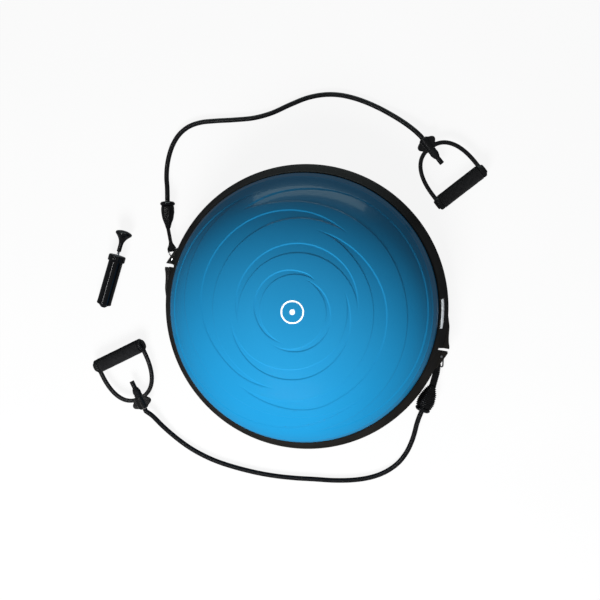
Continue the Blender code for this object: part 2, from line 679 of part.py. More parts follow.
def make_stopper(side, frame, rubber, tube_material):
    """The stopper that holds the tube in the hub and the tube's cut end behind it."""
    place = Matrix.Translation((0.0, 0.0, HANDLE_Z)) @ Matrix.Rotation(math.pi / 2, 4, "Y")
    stopper = [(0.0, STOPPER_START), (STOPPER_R - 0.001, STOPPER_START), (STOPPER_R, STOPPER_START + 0.001),
               (STOPPER_R, STOPPER_START + 0.010), (STOPPER_R - 0.0026, STOPPER_END), (0.0, STOPPER_END)]
    make_turned(f"stopper_{side}", stopper, 16, rubber, frame, place)
    start = STOPPER_END + GAP
    end = [(0.0, start), (TUBE_R, start), (TUBE_R, TUBE_END_U - 0.0008), (TUBE_R - 0.0008, TUBE_END_U),
           (0.0, TUBE_END_U)]
    make_turned(f"tube_end_{side}", end, 12, tube_material, frame, place)


def make_cord(cord, materials):
    """One ring, strap, bulb, tube and handle."""
    side = cord["side"]
    pin = Matrix.Rotation(cord["turn"], 3, "Z") @ Vector((*PIN_XY, 0.0))
    make_pin(side, pin, materials["steel"])
    make_ring(side, pin, cord["ring"], materials["steel"])
    bar = Vector((pin.x, pin.y, RING_Z)) + direction(cord["ring"]) * RING_LENGTH
    bulb_start, bulb_end = [Vector((*spot, RING_Z)) for spot in cord["bulb"]]
    make_strap(side, bar, bulb_start, cord["bar"], cord["strap"], materials["webbing"])
    exit_point, axis = make_bulb(side, bulb_start, bulb_end, cord["wide"], materials["gloss_black"])
    heading = math.radians(cord["heading"])
    frame = add_empty(f"handle_frame_{side}", (*cord["hub"], 0.0), heading)
    inward = direction(cord["heading"])
    entry = Vector((*cord["hub"], HANDLE_Z)) + inward * (HUB_BACK - GAP)
    route = [exit_point + axis * STRAIGHT_END, *cord["route"], entry - inward * STRAIGHT_END]
    path = [exit_point, *smooth_path(route, TUBE_STEP), entry]
    make_curve(f"tube_{side}", path, TUBE_R, 2, materials["rubber_tube"])
    make_yoke(side, frame, materials["satin_black"])
    make_grip(side, frame, materials["foam"], materials["satin_black"], materials["satin_black"])
    make_stopper(side, frame, materials["rubber"], materials["rubber_tube"])


# ---------------------------------------------------------------- pump

def make_pump(materials):
    """A hand pump: barrel with outlet and cap, and a plunger with piston, seal and knob."""
    body = add_empty("pump_axis", (PUMP_X, PUMP_NOZZLE_Y, PUMP_Z))
    lay_along_y = Matrix.Rotation(-math.pi / 2, 4, "X")

    def add(name, profile, steps, material):
        make_turned(name, profile, steps, materials[material], body, lay_along_y)

    floor = BARREL_START + 0.0030
    add("pump_barrel", [(0.0034, BARREL_START), (BARREL_R - 0.0012, BARREL_START),
                        (BARREL_R, BARREL_START + 0.0012), (BARREL_R, BARREL_END), (BARREL_BORE_R, BARREL_END),
                        (BARREL_BORE_R, floor), (0.0034, floor)], 24, "gloss_black")
    flange = BARREL_START - GAP
    add("pump_nozzle", [(0.0012, 0.0), (0.0040, 0.0), (0.0052, 0.0008), (0.0095, flange), (0.0031, flange),
                        (0.0031, floor), (0.0012, floor)], 12, "satin_black")
    cap_start = BARREL_END - 0.0070
    skirt = BARREL_R + GAP
    add("pump_cap", [(skirt, cap_start), (CAP_R - 0.0012, cap_start), (CAP_R, cap_start + 0.0012),
                     (CAP_R, CAP_END - 0.0020), (CAP_R - 0.0020, CAP_END), (ROD_R + GAP, CAP_END),
                     (ROD_R + GAP, BARREL_END + GAP), (skirt, BARREL_END + GAP)], 24, "satin_black")
    groove = 0.5 * (PISTON_START + PISTON_END)
    piston_r = BARREL_BORE_R - GAP
    add("pump_piston", [(0.0, PISTON_START), (piston_r, PISTON_START), (piston_r, groove - 0.0016),
                        (piston_r - 0.0022, groove - 0.0016), (piston_r - 0.0022, groove + 0.0016),
                        (piston_r, groove + 0.0016), (piston_r, PISTON_END), (0.0, PISTON_END)], 24, "satin_black")
    seal_in = piston_r - 0.0022 + GAP
    add("pump_seal", [(seal_in, groove - 0.0012), (piston_r + 0.0001, groove - 0.0006),
                      (piston_r + 0.0001, groove + 0.0006), (seal_in, groove + 0.0012)], 24, "rubber")
    add("pump_rod", [(0.0, PISTON_END + GAP), (ROD_R, PISTON_END + GAP), (ROD_R, HANDLE_START - GAP),
                     (0.0, HANDLE_START - GAP)], 12, "steel")
    knob = [(0.0, HANDLE_START), (0.0044, HANDLE_START), (0.0046, HANDLE_START + 0.014)]
    for step in range(1, 6):
        share = step / 5
        knob.append((0.0046 + 0.0124 * share ** 2.2, HANDLE_START + 0.014 + 0.023 * share))
    knob += [(0.0174, HANDLE_END - 0.0060), (0.0162, HANDLE_END - 0.0030), (0.0100, HANDLE_END - 0.0006),
             (0.0, HANDLE_END)]
    add("pump_handle", knob, 20, "gloss_black")


def main():
    """Build the whole trainer."""
    for old in list(bpy.data.objects):
        bpy.data.objects.remove(old, do_unlink=True)
    materials = {
        "platform_plastic": make_material("platform_plastic", (0.022, 0.020, 0.019), 0.55),
        "dome_pvc": make_material("dome_pvc", (0.010, 0.190, 0.520), 0.28),
        "rubber": make_material("rubber", (0.015, 0.015, 0.016), 0.75),
        "rubber_tube": make_material("rubber_tube", (0.010, 0.011, 0.012), 0.38),
        "gloss_black": make_material("gloss_black", (0.008, 0.009, 0.010), 0.18),
        "satin_black": make_material("satin_black", (0.012, 0.012, 0.013), 0.42),
        "foam": make_material("foam", (0.020, 0.020, 0.021), 0.90),
        "webbing": make_material("webbing", (0.012, 0.012, 0.012), 0.85),
        "steel": make_material("steel", (0.620, 0.620, 0.630), 0.25, 1.0),
        "label_white": make_material("label_white", (0.620, 0.650, 0.680), 0.45),
    }
    make_platform(materials["platform_plastic"])
    make_clamp_ring(materials["platform_plastic"])
    make_dome(materials["dome_pvc"])
    make_screws(materials["steel"])
    make_feet(materials["rubber"])
    make_valve(materials["rubber"], materials["gloss_black"])
    make_label(materials["label_white"])
    for cord in CORDS:
        make_cord(cord, materials)
    make_pump(materials)


main()
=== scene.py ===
import json
import math

import bmesh
import bpy
import numpy as np
from mathutils import Matrix, Vector, noise

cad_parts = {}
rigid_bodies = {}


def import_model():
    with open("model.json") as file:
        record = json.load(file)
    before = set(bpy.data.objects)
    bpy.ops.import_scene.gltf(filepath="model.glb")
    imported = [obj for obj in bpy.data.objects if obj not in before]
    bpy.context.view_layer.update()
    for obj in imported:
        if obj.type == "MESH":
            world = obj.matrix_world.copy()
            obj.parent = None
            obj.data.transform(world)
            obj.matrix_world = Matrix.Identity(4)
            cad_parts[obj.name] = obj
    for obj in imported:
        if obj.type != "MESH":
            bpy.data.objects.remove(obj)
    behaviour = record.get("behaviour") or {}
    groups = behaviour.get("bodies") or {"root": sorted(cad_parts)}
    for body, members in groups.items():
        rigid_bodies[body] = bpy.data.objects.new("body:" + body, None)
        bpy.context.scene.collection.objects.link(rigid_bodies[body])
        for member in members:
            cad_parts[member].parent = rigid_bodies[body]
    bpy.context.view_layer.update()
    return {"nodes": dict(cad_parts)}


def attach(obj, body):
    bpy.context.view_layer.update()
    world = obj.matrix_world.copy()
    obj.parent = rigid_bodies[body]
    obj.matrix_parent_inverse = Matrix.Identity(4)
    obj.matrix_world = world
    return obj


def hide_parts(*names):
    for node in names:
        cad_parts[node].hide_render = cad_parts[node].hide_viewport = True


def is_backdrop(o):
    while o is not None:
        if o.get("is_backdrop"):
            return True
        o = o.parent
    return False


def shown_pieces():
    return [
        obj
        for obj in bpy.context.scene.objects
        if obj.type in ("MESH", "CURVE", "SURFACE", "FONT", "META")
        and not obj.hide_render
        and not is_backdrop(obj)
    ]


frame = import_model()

GAP = 0.0003

# Camera, nearly straight above, turned so that the pump lies on the left of the view
CAMERA_PLACE = Vector((0.21548, 0.17452, 1.97932))
CAMERA_TARGET = Vector((-0.01806, 0.00794, 0.0))
CAMERA_UP = Vector((-0.2924, 0.9563, 0.0))
LENS_MM = 57.67
SENSOR_MM = 36.0

# Sizes shared with the CAD frame
DOME_R = 0.27
DOME_EDGE_Z = 0.072
DOME_TOP_Z = 0.215
DOME_WALL = 0.004
RIM_TOP = 0.042
PLATFORM_R = 0.29
PLATFORM_BOTTOM = 0.005
PLATFORM_FLOOR = 0.017
FLANGE_R = 0.278
FOOT_TOP = 0.0067
SCREW_COUNT = 8
SCREW_CIRCLE_R = 0.2835
EAR_SLOT_HALF = 0.004
VALVE_Y = -0.12
LABEL_START = 9.0
LABEL_SPAN = 12.0
RING_WIRE_R = 0.0015
RING_LENGTH = 0.022
RING_HALF_BAR = 0.009
RING_Z = 0.0165
HANDLE_Z = 0.0152
HUB_BACK = -0.024
BULB_LENGTH = 0.048
COLLAR_END = 0.0578
TUBE_R = 0.005
STRAIGHT_END = 0.006
GRIP_U = 0.1
BOW_LENGTH = 0.085
BOW_HALF = 0.053
YOKE_HALF_THICK = 0.0046
EYE_HALF = 0.0046
PUMP_PLACE = Vector((-0.4145, -0.131, 0.0185))

# The routes of the two elastic tubes (x, y, z), the same points as the CAD solids follow
LEFT_ROUTE = [
    (-0.3482, 0.1370, 0.0160), (-0.3545, 0.1520, 0.0115), (-0.3628, 0.1700, 0.0062),
    (-0.3685, 0.1920, 0.0052), (-0.3710, 0.2160, 0.0052), (-0.3697, 0.2400, 0.0052),
    (-0.3625, 0.2645, 0.0052), (-0.3475, 0.2855, 0.0052), (-0.3250, 0.3010, 0.0052),
    (-0.2960, 0.3125, 0.0052), (-0.2570, 0.3260, 0.0052), (-0.2190, 0.3410, 0.0052),
    (-0.1860, 0.3610, 0.0052), (-0.1550, 0.3870, 0.0052), (-0.1240, 0.4105, 0.0052),
    (-0.0910, 0.4265, 0.0052), (-0.0570, 0.4345, 0.0052), (-0.0190, 0.4355, 0.0052),
    (0.0200, 0.4310, 0.0056), (0.0540, 0.4235, 0.0077), (0.0830, 0.4150, 0.0112),
    (0.1060, 0.4060, 0.0145),
]
RIGHT_ROUTE = [
    (0.2880, -0.1460, 0.0160), (0.2878, -0.1620, 0.0112), (0.2890, -0.1800, 0.0062),
    (0.2890, -0.2000, 0.0052), (0.2855, -0.2260, 0.0052), (0.2755, -0.2530, 0.0052),
    (0.2570, -0.2780, 0.0052), (0.2320, -0.2985, 0.0052), (0.2000, -0.3155, 0.0052),
    (0.1620, -0.3295, 0.0052), (0.1220, -0.3405, 0.0052), (0.0820, -0.3515, 0.0052),
    (0.0400, -0.3610, 0.0052), (-0.0030, -0.3675, 0.0052), (-0.0470, -0.3710, 0.0052),
    (-0.0850, -0.3715, 0.0052), (-0.1190, -0.3685, 0.0052), (-0.1520, -0.3620, 0.0052),
    (-0.1860, -0.3510, 0.0054), (-0.2190, -0.3360, 0.0090), (-0.2450, -0.3210, 0.0140),
]
CORDS = [
    {"side": "left", "pin": (-0.293, 0.012), "ring": 125.0, "bar": 24.0,
     "bulb": ((-0.326, 0.069), (-0.344, 0.124)), "route": LEFT_ROUTE,
     "hub": (0.146, 0.381), "heading": -35.2, "strap": (0.0088, 0.0036), "wide": (1.0, 1.0),
     "ribbed": False},
    {"side": "right", "pin": (0.293, -0.012), "ring": -90.0, "bar": 180.0,
     "bulb": ((0.2945, -0.076), (0.2892, -0.133)), "route": RIGHT_ROUTE,
     "hub": (-0.283, -0.293), "heading": 133.0, "strap": (0.0052, 0.0068), "wide": (1.55, 1.2),
     "ribbed": True},
]

# The dome's eight shallow crescents. Each has an inner and an outer edge, given by
# (azimuth in degrees, plan radius in millimetres); both edges meet at the two tips.
CRESCENTS = [
    ([(71, 72), (100, 70), (125, 68), (150, 65.6), (180, 62.6), (200, 61.5), (240, 60), (274, 61)],
     [(71, 72), (75, 74), (100, 78), (125, 80), (165, 78), (190, 75), (210, 70.6), (237, 66.7), (274, 61)]),
    ([(249, 72.6), (275, 70), (300, 67), (340, 63), (370, 62.5), (400, 62), (420, 62.6), (452, 66)],
     [(249, 72.6), (282, 75), (325, 76), (345, 75.5), (382, 71), (410, 68.7), (435, 66.7), (452, 66)]),
    ([(17, 121), (45, 118), (75, 114), (100, 110.5), (125, 107), (162, 103.5), (190, 104), (219, 106.5)],
     [(17, 121), (37, 126), (55, 129.5), (72, 130.5), (100, 129.5), (125, 125.5), (150, 120), (180, 114),
      (205, 108.5), (219, 106.5)]),
    ([(200, 121), (240, 117), (275, 110), (300, 106.5), (330, 104), (360, 101), (380, 101), (401, 104)],
     [(200, 121), (225, 126), (262, 130.5), (300, 127.5), (327, 120.6), (350, 115), (375, 108), (401, 104)]),
    ([(72, 177.5), (107, 175), (137, 167), (175, 159), (205, 156), (230, 153), (275, 151.5)],
     [(72, 177.5), (100, 190), (137, 195), (150, 194), (175, 190), (200, 182), (226, 169), (250, 162),
      (275, 151.5)]),
    ([(246, 179), (290, 170), (330, 158), (360, 150.5), (385, 148.6), (422, 150.5), (442, 156), (455, 159)],
     [(246, 179), (275, 187), (300, 191), (315, 186), (340, 181), (360, 177.5), (385, 173), (410, 165.7),
      (435, 161), (455, 159)]),
    ([(293, 238), (330, 225), (360, 215), (385, 209), (415, 207), (460, 207), (485, 213), (496, 220)],
     [(293, 238), (320, 246), (360, 251), (400, 250), (440, 244), (460, 236), (485, 226.5), (496, 220)]),
    ([(122, 241), (160, 233), (185, 224), (212, 215), (240, 209), (280, 205), (333, 208)],
     [(122, 241), (139, 245), (180, 250), (220, 249), (260, 240), (290, 226), (310, 213.5), (333, 208)]),
]
CRESCENT_DEPTH = 0.0013
CRESCENT_EDGE = 0.0017
BEAD_R = 0.2598
BEAD_HEIGHT = 0.0008


# ---------------------------------------------------------------- mesh helpers

def new_piece(name, mesh, look, body, slot, *nodes):
    """Link a mesh as a piece that rides on a body and stands for some CAD nodes."""
    piece = bpy.data.objects.new(name, mesh)
    bpy.context.collection.objects.link(piece)
    dress(piece, look, body, slot, *nodes)
    return piece


def dress(piece, look, body, slot, *nodes):
    """Give a finished piece its material and body, and hide the CAD nodes that it stands for; the slot is
    not used.
    """
    piece.data.name = piece.name
    piece.data.materials.clear()
    piece.data.materials.append(MATERIALS[look])
    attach(piece, body)
    if nodes:
        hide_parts(*nodes)


def shade(mesh, sharp=32.0):
    """Shade a mesh smooth except where it turns by more than an angle in degrees."""
    mesh.shade_smooth()
    mesh.set_sharp_from_angle(angle=math.radians(sharp))
    return mesh


def finish_mesh(bm, place=None, sharp=32.0):
    """Turn a bmesh into a mesh with outward faces and smooth round sides."""
    if place:
        bmesh.ops.transform(bm, matrix=place, verts=bm.verts)
    bmesh.ops.recalc_face_normals(bm, faces=bm.faces)
    mesh = bpy.data.meshes.new("shell")
    bm.to_mesh(mesh)
    bm.free()
    return shade(mesh, sharp)


def shifted(x, y, z=0.0):
    """Return the matrix of a move."""
    return Matrix.Translation((x, y, z))


def soften(points, radius, steps=4, closed=True):
    """Round the corners of an outline; the two ends of an open one stay."""
    count = len(points)
    rounded = []
    for index, point in enumerate(points):
        here = Vector(point)
        if not closed and index in (0, count - 1):
            rounded.append(tuple(here))
            continue
        back = Vector(points[index - 1]) - here
        ahead = Vector(points[(index + 1) % count]) - here
        start = here + back.normalized() * min(radius, 0.45 * back.length)
        end = here + ahead.normalized() * min(radius, 0.45 * ahead.length)
        for step in range(steps + 1):
            t = step / steps
            rounded.append(tuple((1 - t) ** 2 * start + 2 * t * (1 - t) * here + t * t * end))
    return rounded


def divided(points, spacing):
    """Add points along the long stretches of an open outline."""
    fine = [points[0]]
    for near, far in zip(points, points[1:]):
        near, far = Vector(near), Vector(far)
        count = max(1, round((far - near).length / spacing))
        for step in range(1, count + 1):
            fine.append(tuple(near.lerp(far, step / count)))
    return fine


def add_turned(bm, profile, steps, shape=None):
    """Revolve (radius, height) points about Z. shape(radius, height, angle) may move each point."""
    rings = []
    for radius, height in profile:
        if radius == 0.0:
            rings.append([bm.verts.new((0.0, 0.0, height))])
            continue
        ring = []
        for step in range(steps):
            angle = math.tau * step / steps
            out, up = shape(radius, height, angle) if shape else (radius, height)
            ring.append(bm.verts.new((out * math.cos(angle), out * math.sin(angle), up)))
        rings.append(ring)
    pairs = list(zip(rings, rings[1:]))
    if profile[0][0] != 0.0:
        pairs.append((rings[-1], rings[0]))
    for low, high in pairs:
        for step in range(steps):
            following = (step + 1) % steps
            corners = [low[step % len(low)], low[following % len(low)],
                       high[following % len(high)], high[step % len(high)]]
            bm.faces.new(list(dict.fromkeys(corners)))


def turned(profile, steps=96, place=None, shape=None, sharp=32.0):
    """Return the mesh of a turned piece."""
    bm = bmesh.new()
    add_turned(bm, profile, steps, shape)
    return finish_mesh(bm, place, sharp)


def soften_turned(profile, radius, rounds=3):
    """Round the corners of a turned outline, which is open when it starts on the axis."""
    return soften(profile, radius, rounds, closed=profile[0][0] != 0.0)


def add_prism(bm, outline, bottom, top, bevel=0.0):
    """Extrude a flat outline between two heights and round its long edges."""
    face = bm.faces.new([bm.verts.new((x, y, bottom)) for x, y in outline])
    raised = bmesh.ops.extrude_face_region(bm, geom=[face])["geom"]
    lifted = [item for item in raised if isinstance(item, bmesh.types.BMVert)]
    bmesh.ops.translate(bm, verts=lifted, vec=(0.0, 0.0, top - bottom))
    if bevel:
        flat = [edge for edge in bm.edges if abs(edge.verts[0].co.z - edge.verts[1].co.z) < 1e-7]
        bmesh.ops.bevel(bm, geom=flat, offset=bevel, segments=3, profile=0.5, affect="EDGES")


def add_moved(bm, build, matrix):
    """Add geometry made by build(part) and move it by a matrix."""
    part = bmesh.new()
    build(part)
    bmesh.ops.transform(part, matrix=matrix, verts=part.verts)
    mesh = bpy.data.meshes.new("moved")
    part.to_mesh(mesh)
    part.free()
    bm.from_mesh(mesh)
    bpy.data.meshes.remove(mesh)


def join_rows(bm, rows, closed_rows=True, capped=True):
    """Skin a series of equal rows of vertices."""
    count = len(rows[0])
    last = count if closed_rows else count - 1
    for near, far in zip(rows, rows[1:]):
        for index in range(last):
            following = (index + 1) % count
            bm.faces.new((near[index], near[following], far[following], far[index]))
    if capped:
        bm.faces.new(rows[0])
        bm.faces.new(rows[-1])


def add_sector(bm, profile, start, span, steps, shape=None):
    """Sweep a closed (radius, height) outline through part of a circle about Z."""
    rows = []
    for step in range(steps + 1):
        angle = start + span * step / steps
        row = []
        for radius, height in profile:
            out, up = shape(radius, height, angle) if shape else (radius, height)
            row.append(bm.verts.new((out * math.cos(angle), out * math.sin(angle), up)))
        rows.append(row)
    join_rows(bm, rows)


def evaluated(bm, kind, sharp=32.0, **settings):
    """Return the mesh of a bmesh after one modifier."""
    piece = bpy.data.objects.new("work", finish_mesh(bm))
    bpy.context.collection.objects.link(piece)
    modifier = piece.modifiers.new("work", kind)
    for name, value in settings.items():
        setattr(modifier, name, value)
    bpy.context.view_layer.update()
    graph = bpy.context.evaluated_depsgraph_get()
    mesh = bpy.data.meshes.new_from_object(piece.evaluated_get(graph))
    bpy.data.objects.remove(piece, do_unlink=True)
    return shade(mesh, sharp)


def combined(base, tool, operation, sharp=32.0):
    """Return the mesh of two bmeshes joined or cut by an exact Boolean."""
    other = bpy.data.objects.new("tool", finish_mesh(tool))
    bpy.context.collection.objects.link(other)
    mesh = evaluated(base, "BOOLEAN", sharp, operation=operation, object=other, solver="EXACT")
    bpy.data.objects.remove(other, do_unlink=True)
    return mesh


def as_bmesh(mesh):
    """Return a mesh as a new bmesh."""
    bm = bmesh.new()
    bm.from_mesh(mesh)
    return bm


def fused(bm, voxel, rounds):
    """Return overlapping closed shells as one moulded skin with filleted joins."""
    skin = evaluated(bm, "REMESH", mode="VOXEL", voxel_size=voxel)
    return evaluated(as_bmesh(skin), "SMOOTH", factor=0.5, iterations=rounds)


def direction(degrees):
    """Return the unit vector of a heading in the floor plane."""
    return Vector((math.cos(math.radians(degrees)), math.sin(math.radians(degrees)), 0.0))


def smooth_path(points, spacing):
    """Read evenly spaced points from a smooth curve through the given ones."""
    points = [Vector(point) for point in points]
    ends = [2 * points[0] - points[1], *points, 2 * points[-1] - points[-2]]
    fine = []
    for before, start, end, after in zip(ends, ends[1:], ends[2:], ends[3:]):
        for step in range(16):
            t = step / 16
            fine.append(0.5 * (2 * start + (end - before) * t
                               + (2 * before - 5 * start + 4 * end - after) * t ** 2
                               + (3 * start - before - 3 * end + after) * t ** 3))
    fine.append(points[-1])
    travelled = [0.0]
    for near, far in zip(fine, fine[1:]):
        travelled.append(travelled[-1] + (far - near).length)
    count = round(travelled[-1] / spacing)
    path = []
    index = 0
    for number in range(count + 1):
        target = travelled[-1] * number / count
        while index < len(fine) - 2 and travelled[index + 1] < target:
            index += 1
        share = (target - travelled[index]) / (travelled[index + 1] - travelled[index])
        path.append(fine[index].lerp(fine[index + 1], share))
    return path


# ---------------------------------------------------------------- materials

class Finish:
    """A Principled material whose colour, roughness and relief come from procedural nodes."""

    def __init__(self, name, **constants):
        self.material = bpy.data.materials.new(name)
        self.material.use_nodes = True
        self.tree = self.material.node_tree
        self.shader = self.tree.nodes["Principled BSDF"]
        for socket, value in constants.items():
            self.shader.inputs[socket.replace("_", " ")].default_value = value
        self.place = self.tree.nodes.new("ShaderNodeTexCoord").outputs["Object"]
        self.normal = None

    def node(self, kind, settings=None, **inputs):
        """Add a node, then set its sockets to constants or link them to other nodes' outputs."""
        node = self.tree.nodes.new("ShaderNode" + kind)
        for name, value in (settings or {}).items():
            setattr(node, name, value)
        for name, value in inputs.items():
            socket = node.inputs[name.replace("_", " ")]
            if isinstance(value, bpy.types.NodeSocket):
                self.tree.links.new(value, socket)
            else:
                socket.default_value = value
        return node

    def feed(self, output, socket):
        """Link an output to a socket of the shader."""
        self.tree.links.new(output, self.shader.inputs[socket])

    def stretched(self, scale):
        """Return the object coordinates scaled along each axis."""
        return self.node("Mapping", Vector=self.place, Scale=scale).outputs["Vector"]

    def noise(self, scale, detail=4.0, stretch=(1.0, 1.0, 1.0)):
        """Return a noise value; scale is in features per metre."""
        place = self.stretched(stretch)
        return self.node("TexNoise", Vector=place, Scale=scale, Detail=detail).outputs["Fac"]

    def from_axis(self):
        """Return the distance from the object's Z axis."""
        flat = self.stretched((1.0, 1.0, 0.0))
        return self.node("VectorMath", {"operation": "LENGTH"}, Vector=flat).outputs["Value"]

    def added(self, value, other, weight):
        """Return a value plus a share of another."""
        node = self.node("Math", {"operation": "MULTIPLY_ADD"})
        node.inputs[1].default_value = weight
        self.tree.links.new(other, node.inputs[0])
        self.tree.links.new(value, node.inputs[2])
        return node.outputs["Value"]

    def pores(self, scale):
        """Return the distance to the nearest of many small cells."""
        return self.node("TexVoronoi", Scale=scale, Vector=self.place).outputs["Distance"]

    def ramp(self, value, low, high):
        """Return a value remapped so that low and high become 0 and 1."""
        return self.node("MapRange", Value=value, From_Min=low, From_Max=high).outputs["Result"]

    def colours(self, value, first, second):
        """Blend the base colour between two colours by a value."""
        blend = self.node("Mix", {"data_type": "RGBA"}, Factor=value, A=(*first, 1.0), B=(*second, 1.0))
        self.feed(blend.outputs["Result"], "Base Color")

    def roughness(self, value, low, high):
        """Vary the roughness between two limits by a value from 0 to 1."""
        self.feed(self.node("MapRange", Value=value, To_Min=low, To_Max=high).outputs["Result"], "Roughness")

    def relief(self, value, depth):
        """Add a small bump, in metres, on top of any earlier one."""
        bump = self.node("Bump", Distance=depth, Height=value)
        if self.normal:
            self.tree.links.new(self.normal, bump.inputs["Normal"])
        self.normal = bump.outputs["Normal"]
        self.feed(self.normal, "Normal")


def dome_pvc():
    """Glossy stretched vinyl, its colour darkened towards the rim as painted shade, with faint clouding and
    a very fine grain.
    """
    finish = Finish("dome_vinyl", IOR=1.46, Specular_IOR_Level=0.32, Coat_Weight=0.3, Coat_Roughness=0.06)
    # Painted shade: the base colour darkens with distance from the dome's axis, standing in for the shade on
    # the sloping sides; the small noise share is real clouding.
    depth = finish.added(finish.from_axis(), finish.noise(9.0, 3.0), 0.05)
    finish.colours(finish.ramp(depth, 0.11, 0.3), (0.023, 0.396, 0.8), (0.009, 0.298, 0.63))
    finish.roughness(finish.noise(40.0, 2.0), 0.3, 0.4)
    finish.relief(finish.noise(1400.0, 1.0), 0.00002)
    return finish.material


def moulded(name, dark, light, rough_low, rough_high, grain, depth, **constants):
    """Moulded plastic or rubber: slight colour drift, scuffs in the gloss and a fine grain."""
    finish = Finish(name, **constants)
    finish.colours(finish.ramp(finish.noise(22.0, 6.0), 0.35, 0.65), dark, light)
    scuffs = finish.ramp(finish.noise(70.0, 8.0, (1.0, 1.0, 3.0)), 0.35, 0.68)
    finish.roughness(scuffs, rough_low, rough_high)
    finish.relief(finish.noise(grain, 2.0), depth)
    return finish.material


def foam_finish():
    """Closed-cell foam: matte, with tiny pores and a slightly lumpy skin."""
    finish = Finish("grip_foam", IOR=1.35, Sheen_Weight=0.1, Sheen_Roughness=0.5)
    clouds = finish.ramp(finish.noise(160.0, 5.0), 0.3, 0.7)
    finish.colours(clouds, (0.011, 0.011, 0.012), (0.02, 0.02, 0.021))
    finish.roughness(finish.ramp(finish.noise(400.0), 0.3, 0.7), 0.82, 0.95)
    finish.relief(finish.noise(260.0, 4.0), 0.0003)
    finish.relief(finish.ramp(finish.pores(1500.0), 0.0, 0.6), 0.00022)
    return finish.material


def webbing_finish(name, sheen, rough):
    """Woven nylon: fine crossing threads over the strap's own ribs."""
    finish = Finish(name, IOR=1.45, Sheen_Weight=sheen, Sheen_Roughness=0.4)
    clouds = finish.ramp(finish.noise(500.0, 3.0), 0.35, 0.65)
    finish.colours(clouds, (0.003, 0.003, 0.003), (0.008, 0.008, 0.009))
    finish.roughness(finish.ramp(finish.noise(300.0), 0.3, 0.7), rough - 0.08, rough + 0.08)
    for threads in ((3.0, 1.0, 1.0), (1.0, 3.0, 1.0)):
        finish.relief(finish.noise(900.0, 2.0, threads), 0.00012)
    return finish.material


def steel_finish():
    """Plated steel wire with fine drawing marks."""
    finish = Finish("plated_steel", Metallic=1.0)
    finish.colours(finish.ramp(finish.noise(120.0, 5.0), 0.35, 0.65), (0.56, 0.56, 0.57), (0.78, 0.78, 0.79))
    finish.roughness(finish.ramp(finish.noise(900.0, 3.0, (1.0, 1.0, 0.1)), 0.3, 0.7), 0.16, 0.32)
    finish.relief(finish.noise(1800.0, 2.0, (1.0, 1.0, 0.1)), 0.00002)
    return finish.material


def print_finish(name, first, second, rough):
    """A thin printed or plain label film."""
    finish = Finish(name)
    finish.colours(finish.ramp(finish.noise(180.0, 4.0), 0.35, 0.65), first, second)
    finish.roughness(finish.ramp(finish.noise(260.0), 0.3, 0.7), rough - 0.06, rough + 0.06)
    finish.relief(finish.noise(1200.0, 2.0), 0.00003)
    return finish.material


MATERIALS = {
    "dome": dome_pvc(),
    "rim": moulded("rim_plastic", (0.008, 0.007, 0.006), (0.014, 0.012, 0.01), 0.42, 0.58, 1600.0, 0.0001),
    "rubber": moulded("black_rubber", (0.01, 0.01, 0.011), (0.018, 0.018, 0.019), 0.62, 0.8, 900.0, 0.00008),
    "tube": moulded("latex_tube", (0.006, 0.006, 0.007), (0.011, 0.011, 0.012), 0.28, 0.42, 700.0, 0.00005),
    "gloss": moulded("gloss_black_plastic", (0.002, 0.002, 0.003), (0.004, 0.004, 0.005), 0.06, 0.11, 500.0,
                     0.00001, Coat_Weight=0.3, Coat_Roughness=0.04),
    "satin": moulded("satin_black_plastic", (0.006, 0.006, 0.007), (0.012, 0.012, 0.012), 0.34, 0.48, 1500.0,
                     0.00008),
    "foam": foam_finish(),
    "webbing": webbing_finish("nylon_webbing", 0.12, 0.72),
    "pleated": webbing_finish("pleated_cap", 0.01, 0.28),
    "steel": steel_finish(),
    "label": print_finish("blank_film", (0.6, 0.64, 0.67), (0.7, 0.73, 0.75), 0.42),
    "print": print_finish("white_print", (0.8, 0.86, 0.88), (0.88, 0.92, 0.93), 0.4),
}


# ---------------------------------------------------------------- camera, light and floor

def make_camera():
    """The camera at the reference view."""
    data = bpy.data.cameras.new("camera")
    data.lens = LENS_MM
    data.sensor_width = SENSOR_MM
    camera = bpy.data.objects.new("camera", data)
    bpy.context.collection.objects.link(camera)
    back = (CAMERA_PLACE - CAMERA_TARGET).normalized()
    right = CAMERA_UP.cross(back).normalized()
    up = back.cross(right)
    turn = Matrix((right, up, back)).transposed().to_4x4()
    camera.matrix_world = Matrix.Translation(CAMERA_PLACE) @ turn
    bpy.context.scene.camera = camera


def add_panel(name, azimuth, elevation, distance, width, height, power, rays, colour=(1.0, 1.0, 1.0)):
    """A soft rectangular light aimed at the middle of the platform, seen by diffuse or glossy rays."""
    data = bpy.data.lights.new(name, "AREA")
    data.shape = "RECTANGLE"
    data.size = width
    data.size_y = height
    data.energy = power
    data.color = colour
    panel = bpy.data.objects.new(name, data)
    bpy.context.collection.objects.link(panel)
    lift = math.radians(elevation)
    out = direction(azimuth) * math.cos(lift) + Vector((0.0, 0.0, math.sin(lift)))
    panel.location = out * distance
    panel.rotation_euler = out.to_track_quat("Z", "Y").to_euler()
    panel.visible_camera = False
    panel.visible_diffuse = rays == "diffuse"
    panel.visible_glossy = rays == "glossy"
    return panel


